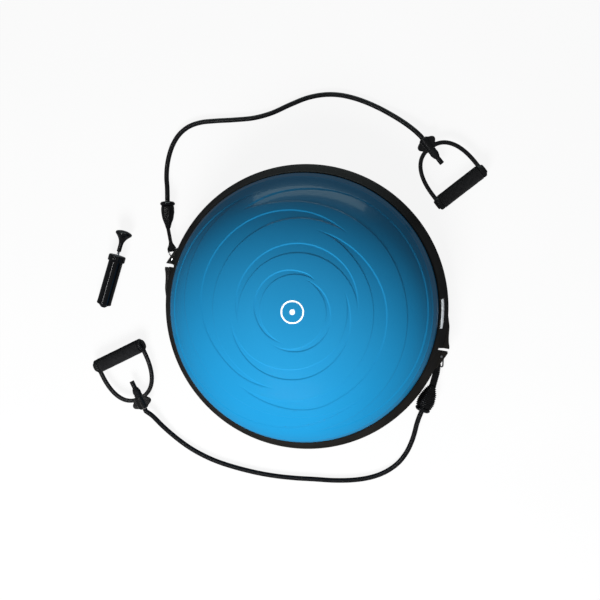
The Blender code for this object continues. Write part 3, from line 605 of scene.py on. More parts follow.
def make_stage():
    """A pale floor that glows faintly, a dim sky and soft panels for shade and for highlights."""
    bm = bmesh.new()
    bmesh.ops.create_grid(bm, x_segments=1, y_segments=1, size=6.0)
    floor = bpy.data.objects.new("floor", finish_mesh(bm))
    bpy.context.collection.objects.link(floor)
    finish = Finish("floor_paper", Roughness=0.9, Emission_Color=(1.0, 1.0, 1.0, 1.0), Emission_Strength=0.9,
                    Specular_IOR_Level=0.1)
    finish.colours(finish.ramp(finish.noise(3.0, 2.0), 0.3, 0.7), (0.11, 0.11, 0.11), (0.12, 0.12, 0.12))
    floor.data.materials.append(finish.material)
    wall = [(4.2, 0.0), (4.8, 0.05), (5.3, 0.35), (5.7, 1.0), (5.9, 2.2), (5.9, 7.0)]
    bm = bmesh.new()
    rows = []
    for radius, height in soften(wall, 0.4, 4, closed=False):
        rows.append([bm.verts.new((radius * math.cos(turn), radius * math.sin(turn), height))
                     for turn in np.linspace(0.0, math.tau, 96, endpoint=False)])
    join_rows(bm, rows, capped=False)
    backdrop = bpy.data.objects.new("backdrop", finish_mesh(bm, sharp=180.0))
    bpy.context.collection.objects.link(backdrop)
    backdrop.data.materials.append(finish.material)
    backdrop.visible_shadow = False
    for screen in (floor, backdrop):
        screen.visible_diffuse = False
        screen.visible_glossy = False
        screen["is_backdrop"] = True
    world = bpy.data.worlds.new("studio")
    world.use_nodes = True
    sky = world.node_tree.nodes["Background"]
    sky.inputs["Color"].default_value = (0.92, 0.96, 1.0, 1.0)
    sky.inputs["Strength"].default_value = 0.12
    bpy.context.scene.world = world
    add_panel("key", 275.0, 40.0, 2.5, 1.3, 0.9, 64.0, "diffuse")
    add_panel("window", 107.0, 7.0, 1.7, 1.9, 0.42, 4.6, "glossy", (0.8, 1.0, 0.98))
    accents = bpy.data.collections.new("accented")
    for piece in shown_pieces():
        if not piece.name.startswith("dome"):
            accents.objects.link(piece)
    films = bpy.data.collections.new("films")
    for piece in accents.objects:
        if piece.data.materials[0] in (MATERIALS["label"], MATERIALS["print"]):
            films.objects.link(piece)
    film_light = add_panel("film_light", 0.0, 75.0, 2.4, 0.8, 0.8, 40.0, "diffuse")
    film_light.light_linking.receiver_collection = films
    strip = add_panel("strip", 202.0, 66.0, 2.2, 1.4, 0.06, 4.5, "glossy")
    top = add_panel("top", 0.0, 88.0, 2.6, 1.0, 1.0, 0.2, "glossy")
    for panel in (strip, top):
        panel.light_linking.receiver_collection = accents
    settings = bpy.context.scene.view_settings
    settings.view_transform = "Standard"
    settings.look = "None"


# ---------------------------------------------------------------- dome

def edge_curve(points, azimuth):
    """Smooth plan radius, in metres, through (azimuth, radius) points; NaN outside them."""
    x = np.array([point[0] for point in points], float)
    y = np.array([point[1] for point in points], float) / 1000.0
    slope = np.gradient(y, x)
    index = np.clip(np.searchsorted(x, azimuth, side="right") - 1, 0, len(x) - 2)
    span = x[index + 1] - x[index]
    t = (azimuth - x[index]) / span
    value = ((2 * t ** 3 - 3 * t ** 2 + 1) * y[index] + (t ** 3 - 2 * t ** 2 + t) * span * slope[index]
             + (3 * t ** 2 - 2 * t ** 3) * y[index + 1] + (t ** 3 - t ** 2) * span * slope[index + 1])
    return np.where((azimuth < x[0]) | (azimuth > x[-1]), np.nan, value)


def step_up(value, width):
    """A smooth step from 0 to 1 over a width."""
    t = np.clip(value / width, 0.0, 1.0)
    return t * t * (3 - 2 * t)


def dome_relief(azimuth, radius):
    """Height of the pattern above the plain dome, in metres, on a grid of rings and azimuths."""
    relief = BEAD_HEIGHT * np.exp(-((radius - BEAD_R) / 0.0013) ** 2) * np.ones_like(azimuth)
    for inner_points, outer_points in CRESCENTS:
        for turn in (0.0, 360.0):
            inner = edge_curve(inner_points, azimuth + turn)
            outer = edge_curve(outer_points, azimuth + turn)
            width = np.nan_to_num(np.maximum(outer - inner, 0.0))
            edge = np.minimum(CRESCENT_EDGE, 0.5 * width + 1e-6)
            inside = step_up(radius - inner, edge) * step_up(outer - radius, edge)
            across = np.clip((radius - inner) / np.maximum(width, 1e-6), 0.0, 1.0)
            fade = np.minimum(width / 0.006, 1.0)
            relief = relief - np.nan_to_num(CRESCENT_DEPTH * fade * inside * (0.55 + 0.45 * across))
    return relief


def make_dome():
    """The inflated skin: patterned cap, upright neck, flange and inner side, as one closed shell."""
    steps = 432
    radii = [*np.linspace(0.004, 0.052, 13), *np.arange(0.053, 0.252, 0.00078)]
    last = math.asin(0.2525 / DOME_R)
    radii += [DOME_R * math.sin(last + (math.pi / 2 - last) * share) for share in np.linspace(0, 1, 36)]
    radius = np.array(radii)[:, None]
    azimuth = (np.arange(steps) * 360.0 / steps)[None, :]
    rise = DOME_TOP_Z - DOME_EDGE_Z
    sine = np.clip(radius / DOME_R, 0.0, 1.0)
    cosine = np.sqrt(1 - sine ** 2)
    relief = dome_relief(azimuth, radius)
    normal_out, normal_up = sine / DOME_R, cosine / rise
    length = np.hypot(normal_out, normal_up)
    out = radius + relief * normal_out / length
    up = DOME_EDGE_Z + rise * cosine + relief * normal_up / length
    bottom = RIM_TOP + GAP
    top = bottom + DOME_WALL
    inner_r = DOME_R - DOME_WALL
    rest = [(DOME_R, DOME_EDGE_Z - 0.008), (DOME_R, top + 0.001), (DOME_R + 0.001, top), (FLANGE_R, top),
            (FLANGE_R, bottom), (inner_r, bottom), (inner_r, DOME_EDGE_Z)]
    rest += [(inner_r * math.cos(a), DOME_EDGE_Z + (rise - DOME_WALL) * math.sin(a))
             for a in np.linspace(0.08, math.pi / 2 - 0.02, 26)]
    rest = np.array(rest)
    out = np.vstack([out, np.repeat(rest[:, :1], steps, axis=1)])
    up = np.vstack([up, np.repeat(rest[:, 1:], steps, axis=1)])
    angle = np.radians(azimuth)
    points = np.stack([out * np.cos(angle), out * np.sin(angle), up], axis=-1).reshape(-1, 3)
    rows = out.shape[0]
    here = np.arange(rows - 1)[:, None] * steps + np.arange(steps)[None, :]
    beside = np.arange(rows - 1)[:, None] * steps + (np.arange(steps)[None, :] + 1) % steps
    faces = np.stack([here, here + steps, beside + steps, beside], axis=-1).reshape(-1, 4).tolist()
    apex = len(points)
    points = np.vstack([points, (0.0, 0.0, DOME_TOP_Z), (0.0, 0.0, DOME_TOP_Z - DOME_WALL)])
    for step in range(steps):
        following = (step + 1) % steps
        faces.append((apex, step, following))
        faces.append((apex + 1, (rows - 1) * steps + following, (rows - 1) * steps + step))
    mesh = bpy.data.meshes.new("dome")
    mesh.from_pydata(points.tolist(), [], faces)
    mesh.shade_smooth()
    new_piece("dome_shell", mesh, "dome", "base", "dome_pvc", "dome_skin")


def dome_height(radius):
    """Height of the plain dome at a plan radius."""
    return DOME_EDGE_Z + (DOME_TOP_Z - DOME_EDGE_Z) * math.sqrt(1 - (radius / DOME_R) ** 2)


def make_mark():
    """A plain printed ring and dot at the top of the dome."""
    bm = bmesh.new()
    film = 0.00012
    for inner, outer in ((0.0, 0.0052), (0.019, 0.0222)):
        radii = [inner + (outer - inner) * share / 4 for share in range(5)]
        over = [(radius, dome_height(radius) + film) for radius in radii]
        under = [(radius, dome_height(radius) - film) for radius in reversed(radii)]
        add_turned(bm, over + under, 96)
    new_piece("apex_mark", finish_mesh(bm), "print", "base", "label_white")


# ---------------------------------------------------------------- platform and rim

EAR_OUTLINE = [
    (0.266, -0.043), (0.2865, -0.0415), (0.293, -0.034), (0.3035, -0.0005),
    (0.303, 0.0105), (0.2985, 0.019), (0.2945, 0.032), (0.2905, 0.05),
    (0.279, 0.076), (0.266, 0.07),
]
ROUND_STEPS = 240


def both_sides():
    """The half turns that carry one ear's geometry to both ears."""
    return (Matrix.Identity(4), Matrix.Rotation(math.pi, 4, "Z"))


def add_notches(bm):
    """A round-ended upright slot in each ear."""
    half = EAR_SLOT_HALF
    outline = [(0.04, -half), (0.04, half)]
    for step in range(13):
        angle = math.pi / 2 + math.pi * step / 12
        outline.append((half + half * math.cos(angle), half * math.sin(angle)))
    for side in both_sides():
        place = side @ shifted(0.281, 0.0) @ Matrix.Rotation(math.radians(8), 4, "Z")
        add_moved(bm, lambda part: add_prism(part, outline, -0.01, 0.09), place)


def add_screw_holes(bm):
    """Stepped holes for the clamp screws."""
    profile = [(0.0, 0.002), (0.004, 0.002), (0.004, 0.0305), (0.0021, 0.0305), (0.0021, 0.0503),
               (0.0, 0.0503)]
    for index in range(SCREW_COUNT):
        angle = math.pi / SCREW_COUNT + math.tau * index / SCREW_COUNT
        place = shifted(SCREW_CIRCLE_R * math.cos(angle), SCREW_CIRCLE_R * math.sin(angle))
        add_moved(bm, lambda part: add_turned(part, profile, 24), place)


def make_platform():
    """The moulded disc with rounded rims, ears, valve boss, grooves and pockets."""
    bottom = PLATFORM_BOTTOM
    floor = PLATFORM_FLOOR
    groove = bottom + 0.002
    profile = [(0.0, groove), (0.0453, groove), (0.0453, bottom), (0.2337, bottom), (0.2337, groove),
               (0.2563, groove), (0.2563, bottom), (0.272, bottom), (PLATFORM_R, 0.03),
               (PLATFORM_R, RIM_TOP), (0.264, RIM_TOP), (0.264, floor), (0.0, floor)]
    body = bmesh.new()
    add_turned(body, soften_turned(profile, 0.0011), ROUND_STEPS)
    ears = bmesh.new()
    outline = soften(EAR_OUTLINE, 0.005, 4)
    for side in both_sides():
        for low, high in ((0.03, RIM_TOP), (0.0062, 0.011)):
            add_moved(ears, lambda part: add_prism(part, outline, low, high, 0.0009), side)
    boss = [(0.0, floor - 0.002), (0.023, floor - 0.002), (0.023, 0.022), (0.021, 0.024), (0.0, 0.024)]
    valve = shifted(0.0, VALVE_Y)
    add_moved(ears, lambda part: add_turned(part, boss, 48), valve)
    solid = as_bmesh(combined(body, ears, "UNION"))
    cuts = bmesh.new()
    add_notches(cuts)
    add_screw_holes(cuts)
    step = RIM_TOP - 0.003
    hole = [(0.0, 0.0), (0.0023, 0.0), (0.0023, step), (0.0035, step), (0.0035, RIM_TOP + 0.002),
            (0.0, RIM_TOP + 0.002)]
    for cord in CORDS[::-1]:
        add_moved(cuts, lambda part: add_turned(part, hole, 24), shifted(*cord["pin"]))
    well = [(0.0, 0.0), (0.017, 0.0), (0.017, 0.014), (0.0083, 0.014), (0.0083, 0.026), (0.0, 0.026)]
    add_moved(cuts, lambda part: add_turned(part, well, 48), valve)
    mesh = combined(solid, cuts, "DIFFERENCE")
    new_piece("platform_body", mesh, "rim", "base", "platform_plastic", "platform")


def collar_slope():
    """The two ends of the collar's slope, as (radius, height)."""
    low = Vector((PLATFORM_R - 0.0022, RIM_TOP + GAP + 0.0062))
    high = Vector((DOME_R + 0.004, DOME_EDGE_Z - 0.0012))
    return low, high


def make_collar():
    """The sloping ring that clamps the dome, with a slightly hollow slope and rounded lips."""
    base = RIM_TOP + GAP
    seat = RIM_TOP + 2 * GAP + DOME_WALL
    flange = FLANGE_R + GAP
    bore = DOME_R + GAP
    low, high = collar_slope()
    slope = [tuple(low.lerp(high, share / 6) - Vector((0.0004, 0.0004)) * math.sin(math.pi * share / 6))
             for share in range(7)]
    profile = [(flange, base), (PLATFORM_R, base), (PLATFORM_R, base + 0.0032), *slope,
               (DOME_R + 0.002, DOME_EDGE_Z), (bore, DOME_EDGE_Z - 0.001), (bore, seat), (flange, seat)]
    ring = bmesh.new()
    add_turned(ring, soften_turned(profile, 0.0008), ROUND_STEPS)
    cuts = bmesh.new()
    add_notches(cuts)
    add_screw_holes(cuts)
    mesh = combined(ring, cuts, "DIFFERENCE")
    new_piece("rim_collar", mesh, "rim", "base", "platform_plastic", "clamp_ring")


def make_label():
    """The blank strip on the collar's slope."""
    low, high = collar_slope()
    slope = (high - low).normalized()
    outward = Vector((slope.y, -slope.x))
    corner = low + slope * 0.014 - outward * 0.0004
    outline = [corner, corner + slope * 0.0085, corner + slope * 0.0085 + outward * 0.001,
               corner + outward * 0.001]
    bm = bmesh.new()
    section = soften([tuple(point) for point in outline], 0.0003, 2)
    add_sector(bm, section, math.radians(LABEL_START), math.radians(LABEL_SPAN), 40)
    new_piece("label_strip", finish_mesh(bm), "label", "base", "label_white", "blank_label")


def tread(radius, height, angle):
    """Fine grip ribs on the underside of a foot."""
    depth = 0.0004 * (0.5 + 0.5 * math.cos(angle * 260.0)) if height < 0.0004 else 0.0
    return radius, height + depth


def make_feet():
    """Six ribbed rubber arcs and a ringed pad in the middle."""
    top = FOOT_TOP
    arc = soften([(0.234, 0.0), (0.256, 0.0), (0.256, top), (0.234, top)], 0.001, 3)
    span = math.radians(40)
    for index in range(6):
        bm = bmesh.new()
        add_sector(bm, arc, math.tau * index / 6 - span / 2 + math.pi / 6, span, 160, tread)
        number = index + 1
        new_piece(f"foot_tread_{number}", finish_mesh(bm), "rubber", "base", "rubber", f"foot_{number}")
    rings = [(0.0, 0.0)]
    for ring in range(1, 8):
        middle = 0.0055 * ring
        rings += [(middle - 0.0016, 0.0), (middle - 0.0008, 0.0006), (middle + 0.0008, 0.0006),
                  (middle + 0.0016, 0.0)]
    rings += [(0.044, 0.0), (0.045, 0.001), (0.045, top), (0.0, top)]
    mesh = turned(soften_turned(rings, 0.0004, 2))
    new_piece("centre_tread", mesh, "rubber", "base", "rubber", "centre_pad")


def make_valve():
    """A rubber seat in the platform's well and the ribbed plug that stops it."""
    place = shifted(0.0, VALVE_Y)
    seat = [(0.0043, 0.0113), (0.013, 0.0113), (0.013, 0.0137), (0.008, 0.0137), (0.008, 0.026),
            (0.0043, 0.026)]
    mesh = turned(soften_turned(seat, 0.0006, 4), 64, place)
    new_piece("valve_grommet", mesh, "rubber", "base", "rubber", "valve_seat")
    plug = [(0.0, 0.0088), (0.002, 0.0084), (0.006, 0.0084), (0.0075, 0.0092), (0.0075, 0.011),
            (0.004, 0.011), (0.004, 0.015), (0.0037, 0.0155), (0.0037, 0.017), (0.004, 0.0175),
            (0.004, 0.024), (0.003, 0.025), (0.0, 0.025)]

    def knurl(radius, height, angle):
        out = radius - (0.0003 * (0.5 + 0.5 * math.cos(angle * 20)) if radius > 0.0068 else 0.0)
        return out, height

    mesh = turned(soften_turned(plug, 0.0005), 120, place, knurl)
    new_piece("valve_stopper", mesh, "gloss", "valve_plug", "satin_black", "valve_plug")


# ---------------------------------------------------------------- rings, straps and bulbs

def make_pin(cord):
    """A headed steel pin through the ear."""
    foot = 0.0012
    head = RIM_TOP - 0.003 + GAP
    profile = [(0.0, foot), (0.002, foot), (0.002, head), (0.0032, head), (0.0032, RIM_TOP - 0.0008),
               (0.0024, RIM_TOP), (0.0, RIM_TOP)]
    side = cord["side"]
    mesh = turned(soften_turned(profile, 0.0005), 40, shifted(*cord["pin"]))
    new_piece(f"anchor_stud_{side}", mesh, "steel", "base", "steel", f"anchor_pin_{side}")


def closed_wire(points, radius, sides):
    """A round wire along a closed line, as a mesh."""
    rows = []
    bm = bmesh.new()
    angles = [math.tau * side / sides for side in range(sides)]
    for index, point in enumerate(points):
        forward = (points[(index + 1) % len(points)] - points[index - 1]).normalized()
        across = Vector((0.0, 0.0, 1.0)).cross(forward).normalized()
        up = forward.cross(across)
        rows.append([bm.verts.new(point + (across * math.cos(a) + up * math.sin(a)) * radius)
                     for a in angles])
    join_rows(bm, [*rows, rows[0]], capped=False)
    return finish_mesh(bm)


def make_ring(cord):
    """The wire ring round the pin, with a straight bar for the strap."""
    apex = 0.0041
    corner = 0.003
    outline = [(apex * math.cos(a), apex * math.sin(a))
               for a in np.linspace(math.pi / 2, 3 * math.pi / 2, 25)]
    for sign in (-1, 1):
        centre = (RING_LENGTH - corner, sign * (RING_HALF_BAR - corner))
        first = -math.pi / 2 if sign < 0 else 0.0
        for angle in np.linspace(first, first + math.pi / 2, 11):
            outline.append((centre[0] + corner * math.cos(angle), centre[1] + corner * math.sin(angle)))
    turn = Matrix.Rotation(math.radians(cord["ring"]), 4, "Z")
    middle = Vector((*cord["pin"], RING_Z))
    points = [middle + turn @ Vector((x, y, 0.0)) for x, y in outline]
    ring = f"ring_{cord['side']}"
    new_piece("steel_" + ring, closed_wire(points, RING_WIRE_R, 16), "steel", ring, "steel", ring)


def strap_half_width(distance, widths):
    """Half the strap's width, from its loop to the bulb."""
    t = min(max(distance / 0.017, 0.0), 1.0)
    return widths[0] + (widths[1] - widths[0]) * t * t * (3 - 2 * t)


def make_strap(cord):
    """A band of webbing looped round the ring's bar, its two layers sewn together."""
    side = cord["side"]
    bar = Vector((*cord["pin"], RING_Z)) + direction(cord["ring"]) * RING_LENGTH
    end = Vector((*cord["bulb"][0], RING_Z))
    length = (end - bar).length + 0.002
    forward = (end - bar).normalized()
    square = Vector((-forward.y, forward.x, 0.0))
    across = direction(cord["bar"])
    if across.dot(square) < 0:
        across = -across
    bend = 0.0039
    layer = 0.00092
    line = []
    for distance in np.arange(length, 0.0095, -0.0004):
        line.append((distance, layer))
    for step in range(1, 15):
        t = step / 15
        ease = t * t * (3 - 2 * t)
        line.append((0.0095 * (1 - t), layer + (bend - layer) * ease))
    for step in range(0, 25):
        angle = math.pi / 2 + math.pi * step / 24
        line.append((bend * math.cos(angle), bend * math.sin(angle)))
    line += [(distance, -height) for distance, height in reversed(line[:-25])]
    thick = 0.00075
    rows = []
    bm = bmesh.new()
    columns = 26
    travelled = 0.0
    for index, (distance, height) in enumerate(line):
        before = Vector(line[max(index - 1, 0)])
        after = Vector(line[min(index + 1, len(line) - 1)])
        if index:
            travelled += (Vector(line[index]) - Vector(line[index - 1])).length
        along = (after - before).normalized()
        out = Vector((-along.y, along.x))
        half = strap_half_width(distance, cord["strap"])
        ruffle = 0.0
        if cord["ribbed"] and distance > 0.004:
            ruffle = 0.0008 * (0.5 + 0.5 * math.sin(math.tau * distance / 0.0038))
        mix = min(max(distance / 0.012, 0.0), 1.0)
        wide = across.lerp(square, mix).normalized()
        centre = bar + forward * distance + Vector((0.0, 0.0, height))
        normal = forward * out.x + Vector((0.0, 0.0, out.y))
        row = []
        for face in (1, -1):
            for column in range(columns + 1):
                v = (1 - 2 * column / columns) * face
                weave = math.sin(math.tau * (travelled / 0.0022 + abs(v) * half / 0.0016))
                rib = 0.0001 * weave * (1 - abs(v) ** 6)
                edge = thick * (1 - abs(v) ** 8 * 0.55) + rib
                reach = v * half + ruffle * max(v, 0.0) ** 4
                row.append(bm.verts.new(centre + wide * reach + normal * (edge * face)))
        rows.append(row)
    join_rows(bm, rows)
    mesh = finish_mesh(bm, sharp=60)
    new_piece(f"webbing_strap_{side}", mesh, "webbing", f"cord_{side}", "webbing", f"strap_{side}")
    make_stitches(side, bar, forward, square, cord["strap"])


def make_stitches(side, bar, forward, across, widths):
    """Two rows of thread that sew the strap's layers together."""
    bm = bmesh.new()
    turn = across.to_track_quat("Z", "Y").to_matrix().to_4x4()
    count = 5
    for distance in (0.0115, 0.015):
        half = strap_half_width(distance, widths) - 0.0012
        reach = 0.72 * half / count
        thread = [(0.0, -reach), (0.00018, -0.9 * reach), (0.00026, 0.0), (0.00018, 0.9 * reach),
                  (0.0, reach)]
        for index in range(count):
            v = -half + 2 * half * (index + 0.5) / count
            for face in (1, -1):
                spot = bar + forward * distance + across * v + Vector((0.0, 0.0, face * 0.00175))
                add_moved(bm, lambda part: add_turned(part, thread, 8), Matrix.Translation(spot) @ turn)
    new_piece(f"strap_stitching_{side}", finish_mesh(bm), "tube", f"cord_{side}", "webbing")


def make_bulb(cord):
    """The pleated cap over the tube's end plug and its lobed collar; returns the tube's exit and axis."""
    side = cord["side"]
    start, end = [Vector((*spot, RING_Z)) for spot in cord["bulb"]]
    axis = (end - start).normalized()
    place = Matrix.Translation(start) @ Vector((0, 0, 1)).rotation_difference(axis).to_matrix().to_4x4()
    outline = [(0.0, 0.0), (0.004, 0.0002), (0.005, 0.002), (0.0066, 0.0065), (0.0084, 0.0115),
               (0.0103, 0.017), (0.0119, 0.0225), (0.0131, 0.0285), (0.0139, 0.035), (0.0141, 0.041),
               (0.0137, 0.046), (0.0128, BULB_LENGTH), (0.0, BULB_LENGTH)]
    ribbed = cord["ribbed"]

    def pleat(radius, height, angle):
        if radius < 0.0035 or height > 0.047:
            return radius, height
        fold = 0.0005 * (1 - 0.6 * height / BULB_LENGTH) * math.cos(7 * angle + 1.5 * math.sin(2 * angle))
        rib = 0.0008 * math.sin(math.tau * height / 0.0038) if ribbed else 0.0
        crease = 0.0012 * noise.noise(Vector((2.2 * math.cos(angle), 2.2 * math.sin(angle), height * 60.0)))
        fine = 0.00008 * math.sin(math.tau * (height / 0.0017) + 22 * angle)
        return radius + fold - 0.0003 + rib * (0.4 + 0.6 * abs(math.cos(angle))) + fine - abs(crease), height

    mesh = turned(divided(soften_turned(outline, 0.0012), 0.0006), 132, None, pleat, 60)
    square = place.to_3x3().inverted() @ Vector((-axis.y, axis.x, 0.0))
    for vert in mesh.vertices:
        share = min(max(vert.co.z / BULB_LENGTH, 0.0), 1.0)
        factor = cord["wide"][0] + (cord["wide"][1] - cord["wide"][0]) * share
        vert.co += square * square.dot(vert.co) * (factor - 1.0)
    mesh.transform(place)
    new_piece(f"bulb_cap_{side}", mesh, "pleated", f"cord_{side}", "gloss_black", f"bulb_{side}")
    low = BULB_LENGTH + GAP
    high = low + 0.0092
    collar = [(0.0, low), (0.0136, low), (0.0155, low + 0.0022), (0.0157, high - 0.0042),
              (0.0128, high - 0.001), (0.0066, high), (0.0, high)]

    def lobes(radius, height, angle):
        if radius < 0.012:
            return radius, height
        lump = noise.noise(Vector((math.cos(angle), math.sin(angle), height * 90.0)) * 1.6)
        return radius - 0.0005 * (0.5 - 0.5 * math.cos(10 * angle)) - 0.0016 * max(lump, 0.0), height

    mesh = turned(soften_turned(collar, 0.001, 4), 160, place, lobes)
    new_piece(f"collar_nut_{side}", mesh, "gloss", f"cord_{side}", "gloss_black", f"collar_{side}")
    return place @ Vector((0.0, 0.0, COLLAR_END)), axis


def make_tube(cord, exit_point, axis):
    """The elastic tube from the collar to the handle's hub, on the floor between them."""
    side = cord["side"]
    inward = direction(cord["heading"])
    entry = Vector((*cord["hub"], HANDLE_Z)) + inward * (HUB_BACK - GAP)
    route = [exit_point + axis * STRAIGHT_END, *cord["route"], entry - inward * STRAIGHT_END]
    path = [exit_point, *smooth_path(route, 0.004), entry]
    curve = bpy.data.curves.new(f"elastic_tube_{side}", "CURVE")
    curve.dimensions = "3D"
    curve.bevel_depth = TUBE_R
    curve.bevel_resolution = 6
    curve.use_fill_caps = True
    spline = curve.splines.new("POLY")
    spline.points.add(len(path) - 1)
    for place, point in zip(spline.points, path):
        place.co = (*point, 1.0)
    spline.use_smooth = True
    tube = bpy.data.objects.new(f"elastic_tube_{side}", curve)
    bpy.context.collection.objects.link(tube)
    dress(tube, "tube", f"cord_{side}", "rubber_tube", f"tube_{side}")


# ---------------------------------------------------------------- handles

def bow_point(angle):
    """A point of the bow's middle line in the handle's own plane."""
    power = 2 / 2.4
    return Vector((BOW_LENGTH * (1 - math.cos(angle) ** power), BOW_HALF * math.sin(angle) ** power, 0.0))


def add_bar(bm, line, half_width, half_thick, corner):
    """Sweep an upright rounded rectangle along a line in the handle's plane."""
    section = soften([(half_width, half_thick), (-half_width, half_thick), (-half_width, -half_thick),
                      (half_width, -half_thick)], corner, 4)
    rows = []
    for index, point in enumerate(line):
        before = line[max(index - 1, 0)]
        after = line[min(index + 1, len(line) - 1)]
        forward = (after - before).normalized()
        across = Vector((-forward.y, forward.x, 0.0))
        rows.append([bm.verts.new(point + across * y + Vector((0.0, 0.0, z))) for y, z in section])
    join_rows(bm, rows)


def make_yoke(cord, place):
    """The moulded stirrup: hub, bow and the two eyes for the grip, as one filleted skin."""
    side = cord["side"]
    bm = bmesh.new()
    angles = [math.radians(1 + 88.5 * (step / 60) ** 1.3) for step in range(61)]
    half_line = [bow_point(angle) for angle in angles] + [Vector((GRIP_U - 0.002, BOW_HALF, 0.0))]
    line = [Vector((point.x, -point.y, 0.0)) for point in reversed(half_line)] + half_line
    add_bar(bm, line, 0.0042, 0.0045, 0.0028)
    hub = [(0.0055, 0.008), (0.004, 0.013), (-0.003, 0.0145), (-0.0065, 0.019), (-0.0105, 0.0208),
           (-0.015, 0.0198), (-0.0185, 0.015), (-0.02, 0.0105), (HUB_BACK, 0.007)]
    plate = soften(hub + [(x, -y) for x, y in reversed(hub)], 0.003)
    half = YOKE_HALF_THICK
    add_moved(bm, lambda part: add_prism(part, plate, -half, half, 0.001), Matrix.Identity(4))
    barrel = [(0.0, HUB_BACK), (0.0068, HUB_BACK), (0.0088, HUB_BACK + 0.0024), (0.009, -0.006),
              (0.0082, 0.0054), (0.0, 0.0054)]
    add_moved(bm, lambda part: add_turned(part, barrel, 40), Matrix.Rotation(math.pi / 2, 4, "Y"))
    eye = [(0.0, BOW_HALF - 0.0045), (0.0144, BOW_HALF - 0.0045), (0.0146, BOW_HALF - 0.0036),
           (0.0146, BOW_HALF + 0.002), (0.0118, BOW_HALF + 0.0045), (0.0, BOW_HALF + 0.0045)]
    bore = [(0.0, BOW_HALF - 0.02), (0.007, BOW_HALF - 0.02), (0.007, BOW_HALF + 0.02),
            (0.0, BOW_HALF + 0.02)]
    cuts = bmesh.new()
    for turn in (-math.pi / 2, math.pi / 2):
        spot = shifted(GRIP_U, 0.0) @ Matrix.Rotation(turn, 4, "X")
        add_moved(bm, lambda part: add_turned(part, eye, 48), spot)
        add_moved(cuts, lambda part: add_turned(part, bore, 40), spot)
    mesh = combined(as_bmesh(fused(bm, 0.0007, 5)), cuts, "DIFFERENCE", 50)
    mesh.transform(place)
    new_piece(f"handle_yoke_{side}", mesh, "satin", f"cord_{side}", "satin_black", f"yoke_{side}")


def make_grip(cord, place):
    """The foam sleeve on its tube, with a plug in each end."""
    side = cord["side"]
    body = f"grip_{side}"
    axle = place @ shifted(GRIP_U, 0.0)
    lay = axle @ Matrix.Rotation(-math.pi / 2, 4, "X")
    shoulder = BOW_HALF - EYE_HALF - GAP
    outline = [(0.0083, -shoulder), (0.0148, -shoulder), (0.0148, shoulder), (0.0083, shoulder)]
    sleeve = soften(outline, 0.0012, 4)
    sleeve = divided([*sleeve, sleeve[0]], 0.0011)[:-1]

    def lumps(radius, height, angle):
        if radius < 0.01:
            return radius, height
        spot = Vector((radius * math.cos(angle), radius * math.sin(angle), height))
        wave = 0.00022 * noise.noise(spot * 90.0) + 0.00014 * noise.noise(spot * 420.0)
        return radius + wave - 0.0001, height

    mesh = turned(sleeve, 110, lay, lumps, 50)
    foam = new_piece(f"foam_grip_{side}", mesh, "foam", body, "foam", f"grip_foam_{side}")
    tip = BOW_HALF + EYE_HALF
    core = [(0.0055, -tip), (0.0067, -tip), (0.0067, -shoulder), (0.008, -shoulder), (0.008, shoulder),
            (0.0067, shoulder), (0.0067, tip), (0.0055, tip)]
    mesh = turned(soften_turned(core, 0.0004, 2), 56, lay)
    new_piece(f"grip_axle_{side}", mesh, "satin", body, "satin_black", f"grip_core_{side}")
    head = tip + GAP
    plug = [(0.0, head - 0.014), (0.0052, head - 0.014), (0.0052, head), (0.01, head), (0.01, head + 0.0014),
            (0.0086, head + 0.0026), (0.004, head + 0.0026), (0.003, head + 0.0016), (0.0, head + 0.0016)]
    for number, turn in ((1, -math.pi / 2), (2, math.pi / 2)):
        end = f"{side}_{number}"
        mesh = turned(soften_turned(plug, 0.0006), 56, axle @ Matrix.Rotation(turn, 4, "X"))
        new_piece(f"end_plug_{end}", mesh, "satin", body, "satin_black", f"grip_plug_{end}")


def make_stopper(cord, place):
    """The stopper that holds the tube in the hub and the tube's cut end behind it."""
    side = cord["side"]
    lay = place @ Matrix.Rotation(math.pi / 2, 4, "Y")
    stopper = [(0.0, 0.0046), (0.0078, 0.0046), (0.0085, 0.007), (0.0085, 0.0092), (0.0077, 0.0098),
               (0.0077, 0.0106), (0.0085, 0.0112), (0.0085, 0.016), (0.0062, 0.0238), (0.0, 0.024)]
    mesh = turned(soften_turned(stopper, 0.0007), 64, lay)
    new_piece(f"stopper_plug_{side}", mesh, "rubber", f"cord_{side}", "rubber", f"stopper_{side}")
    tail = [(0.0, 0.0232), (0.005, 0.0232), (0.005, 0.0398), (0.0044, 0.0402), (0.0026, 0.0402),
            (0.0022, 0.0392), (0.0022, 0.035), (0.0, 0.035)]
    mesh = turned(soften_turned(tail, 0.0004), 48, lay)
    new_piece(f"tube_tail_{side}", mesh, "tube", f"cord_{side}", "rubber_tube", f"tube_end_{side}")


def make_cord(cord):
    """One ring, strap, bulb, tube and handle."""
    make_pin(cord)
    make_ring(cord)
    make_strap(cord)
    exit_point, axis = make_bulb(cord)
    make_tube(cord, exit_point, axis)
    place = shifted(*cord["hub"], HANDLE_Z) @ Matrix.Rotation(math.radians(cord["heading"]), 4, "Z")
    make_yoke(cord, place)
    make_grip(cord, place)
    make_stopper(cord, place)


# ---------------------------------------------------------------- pump

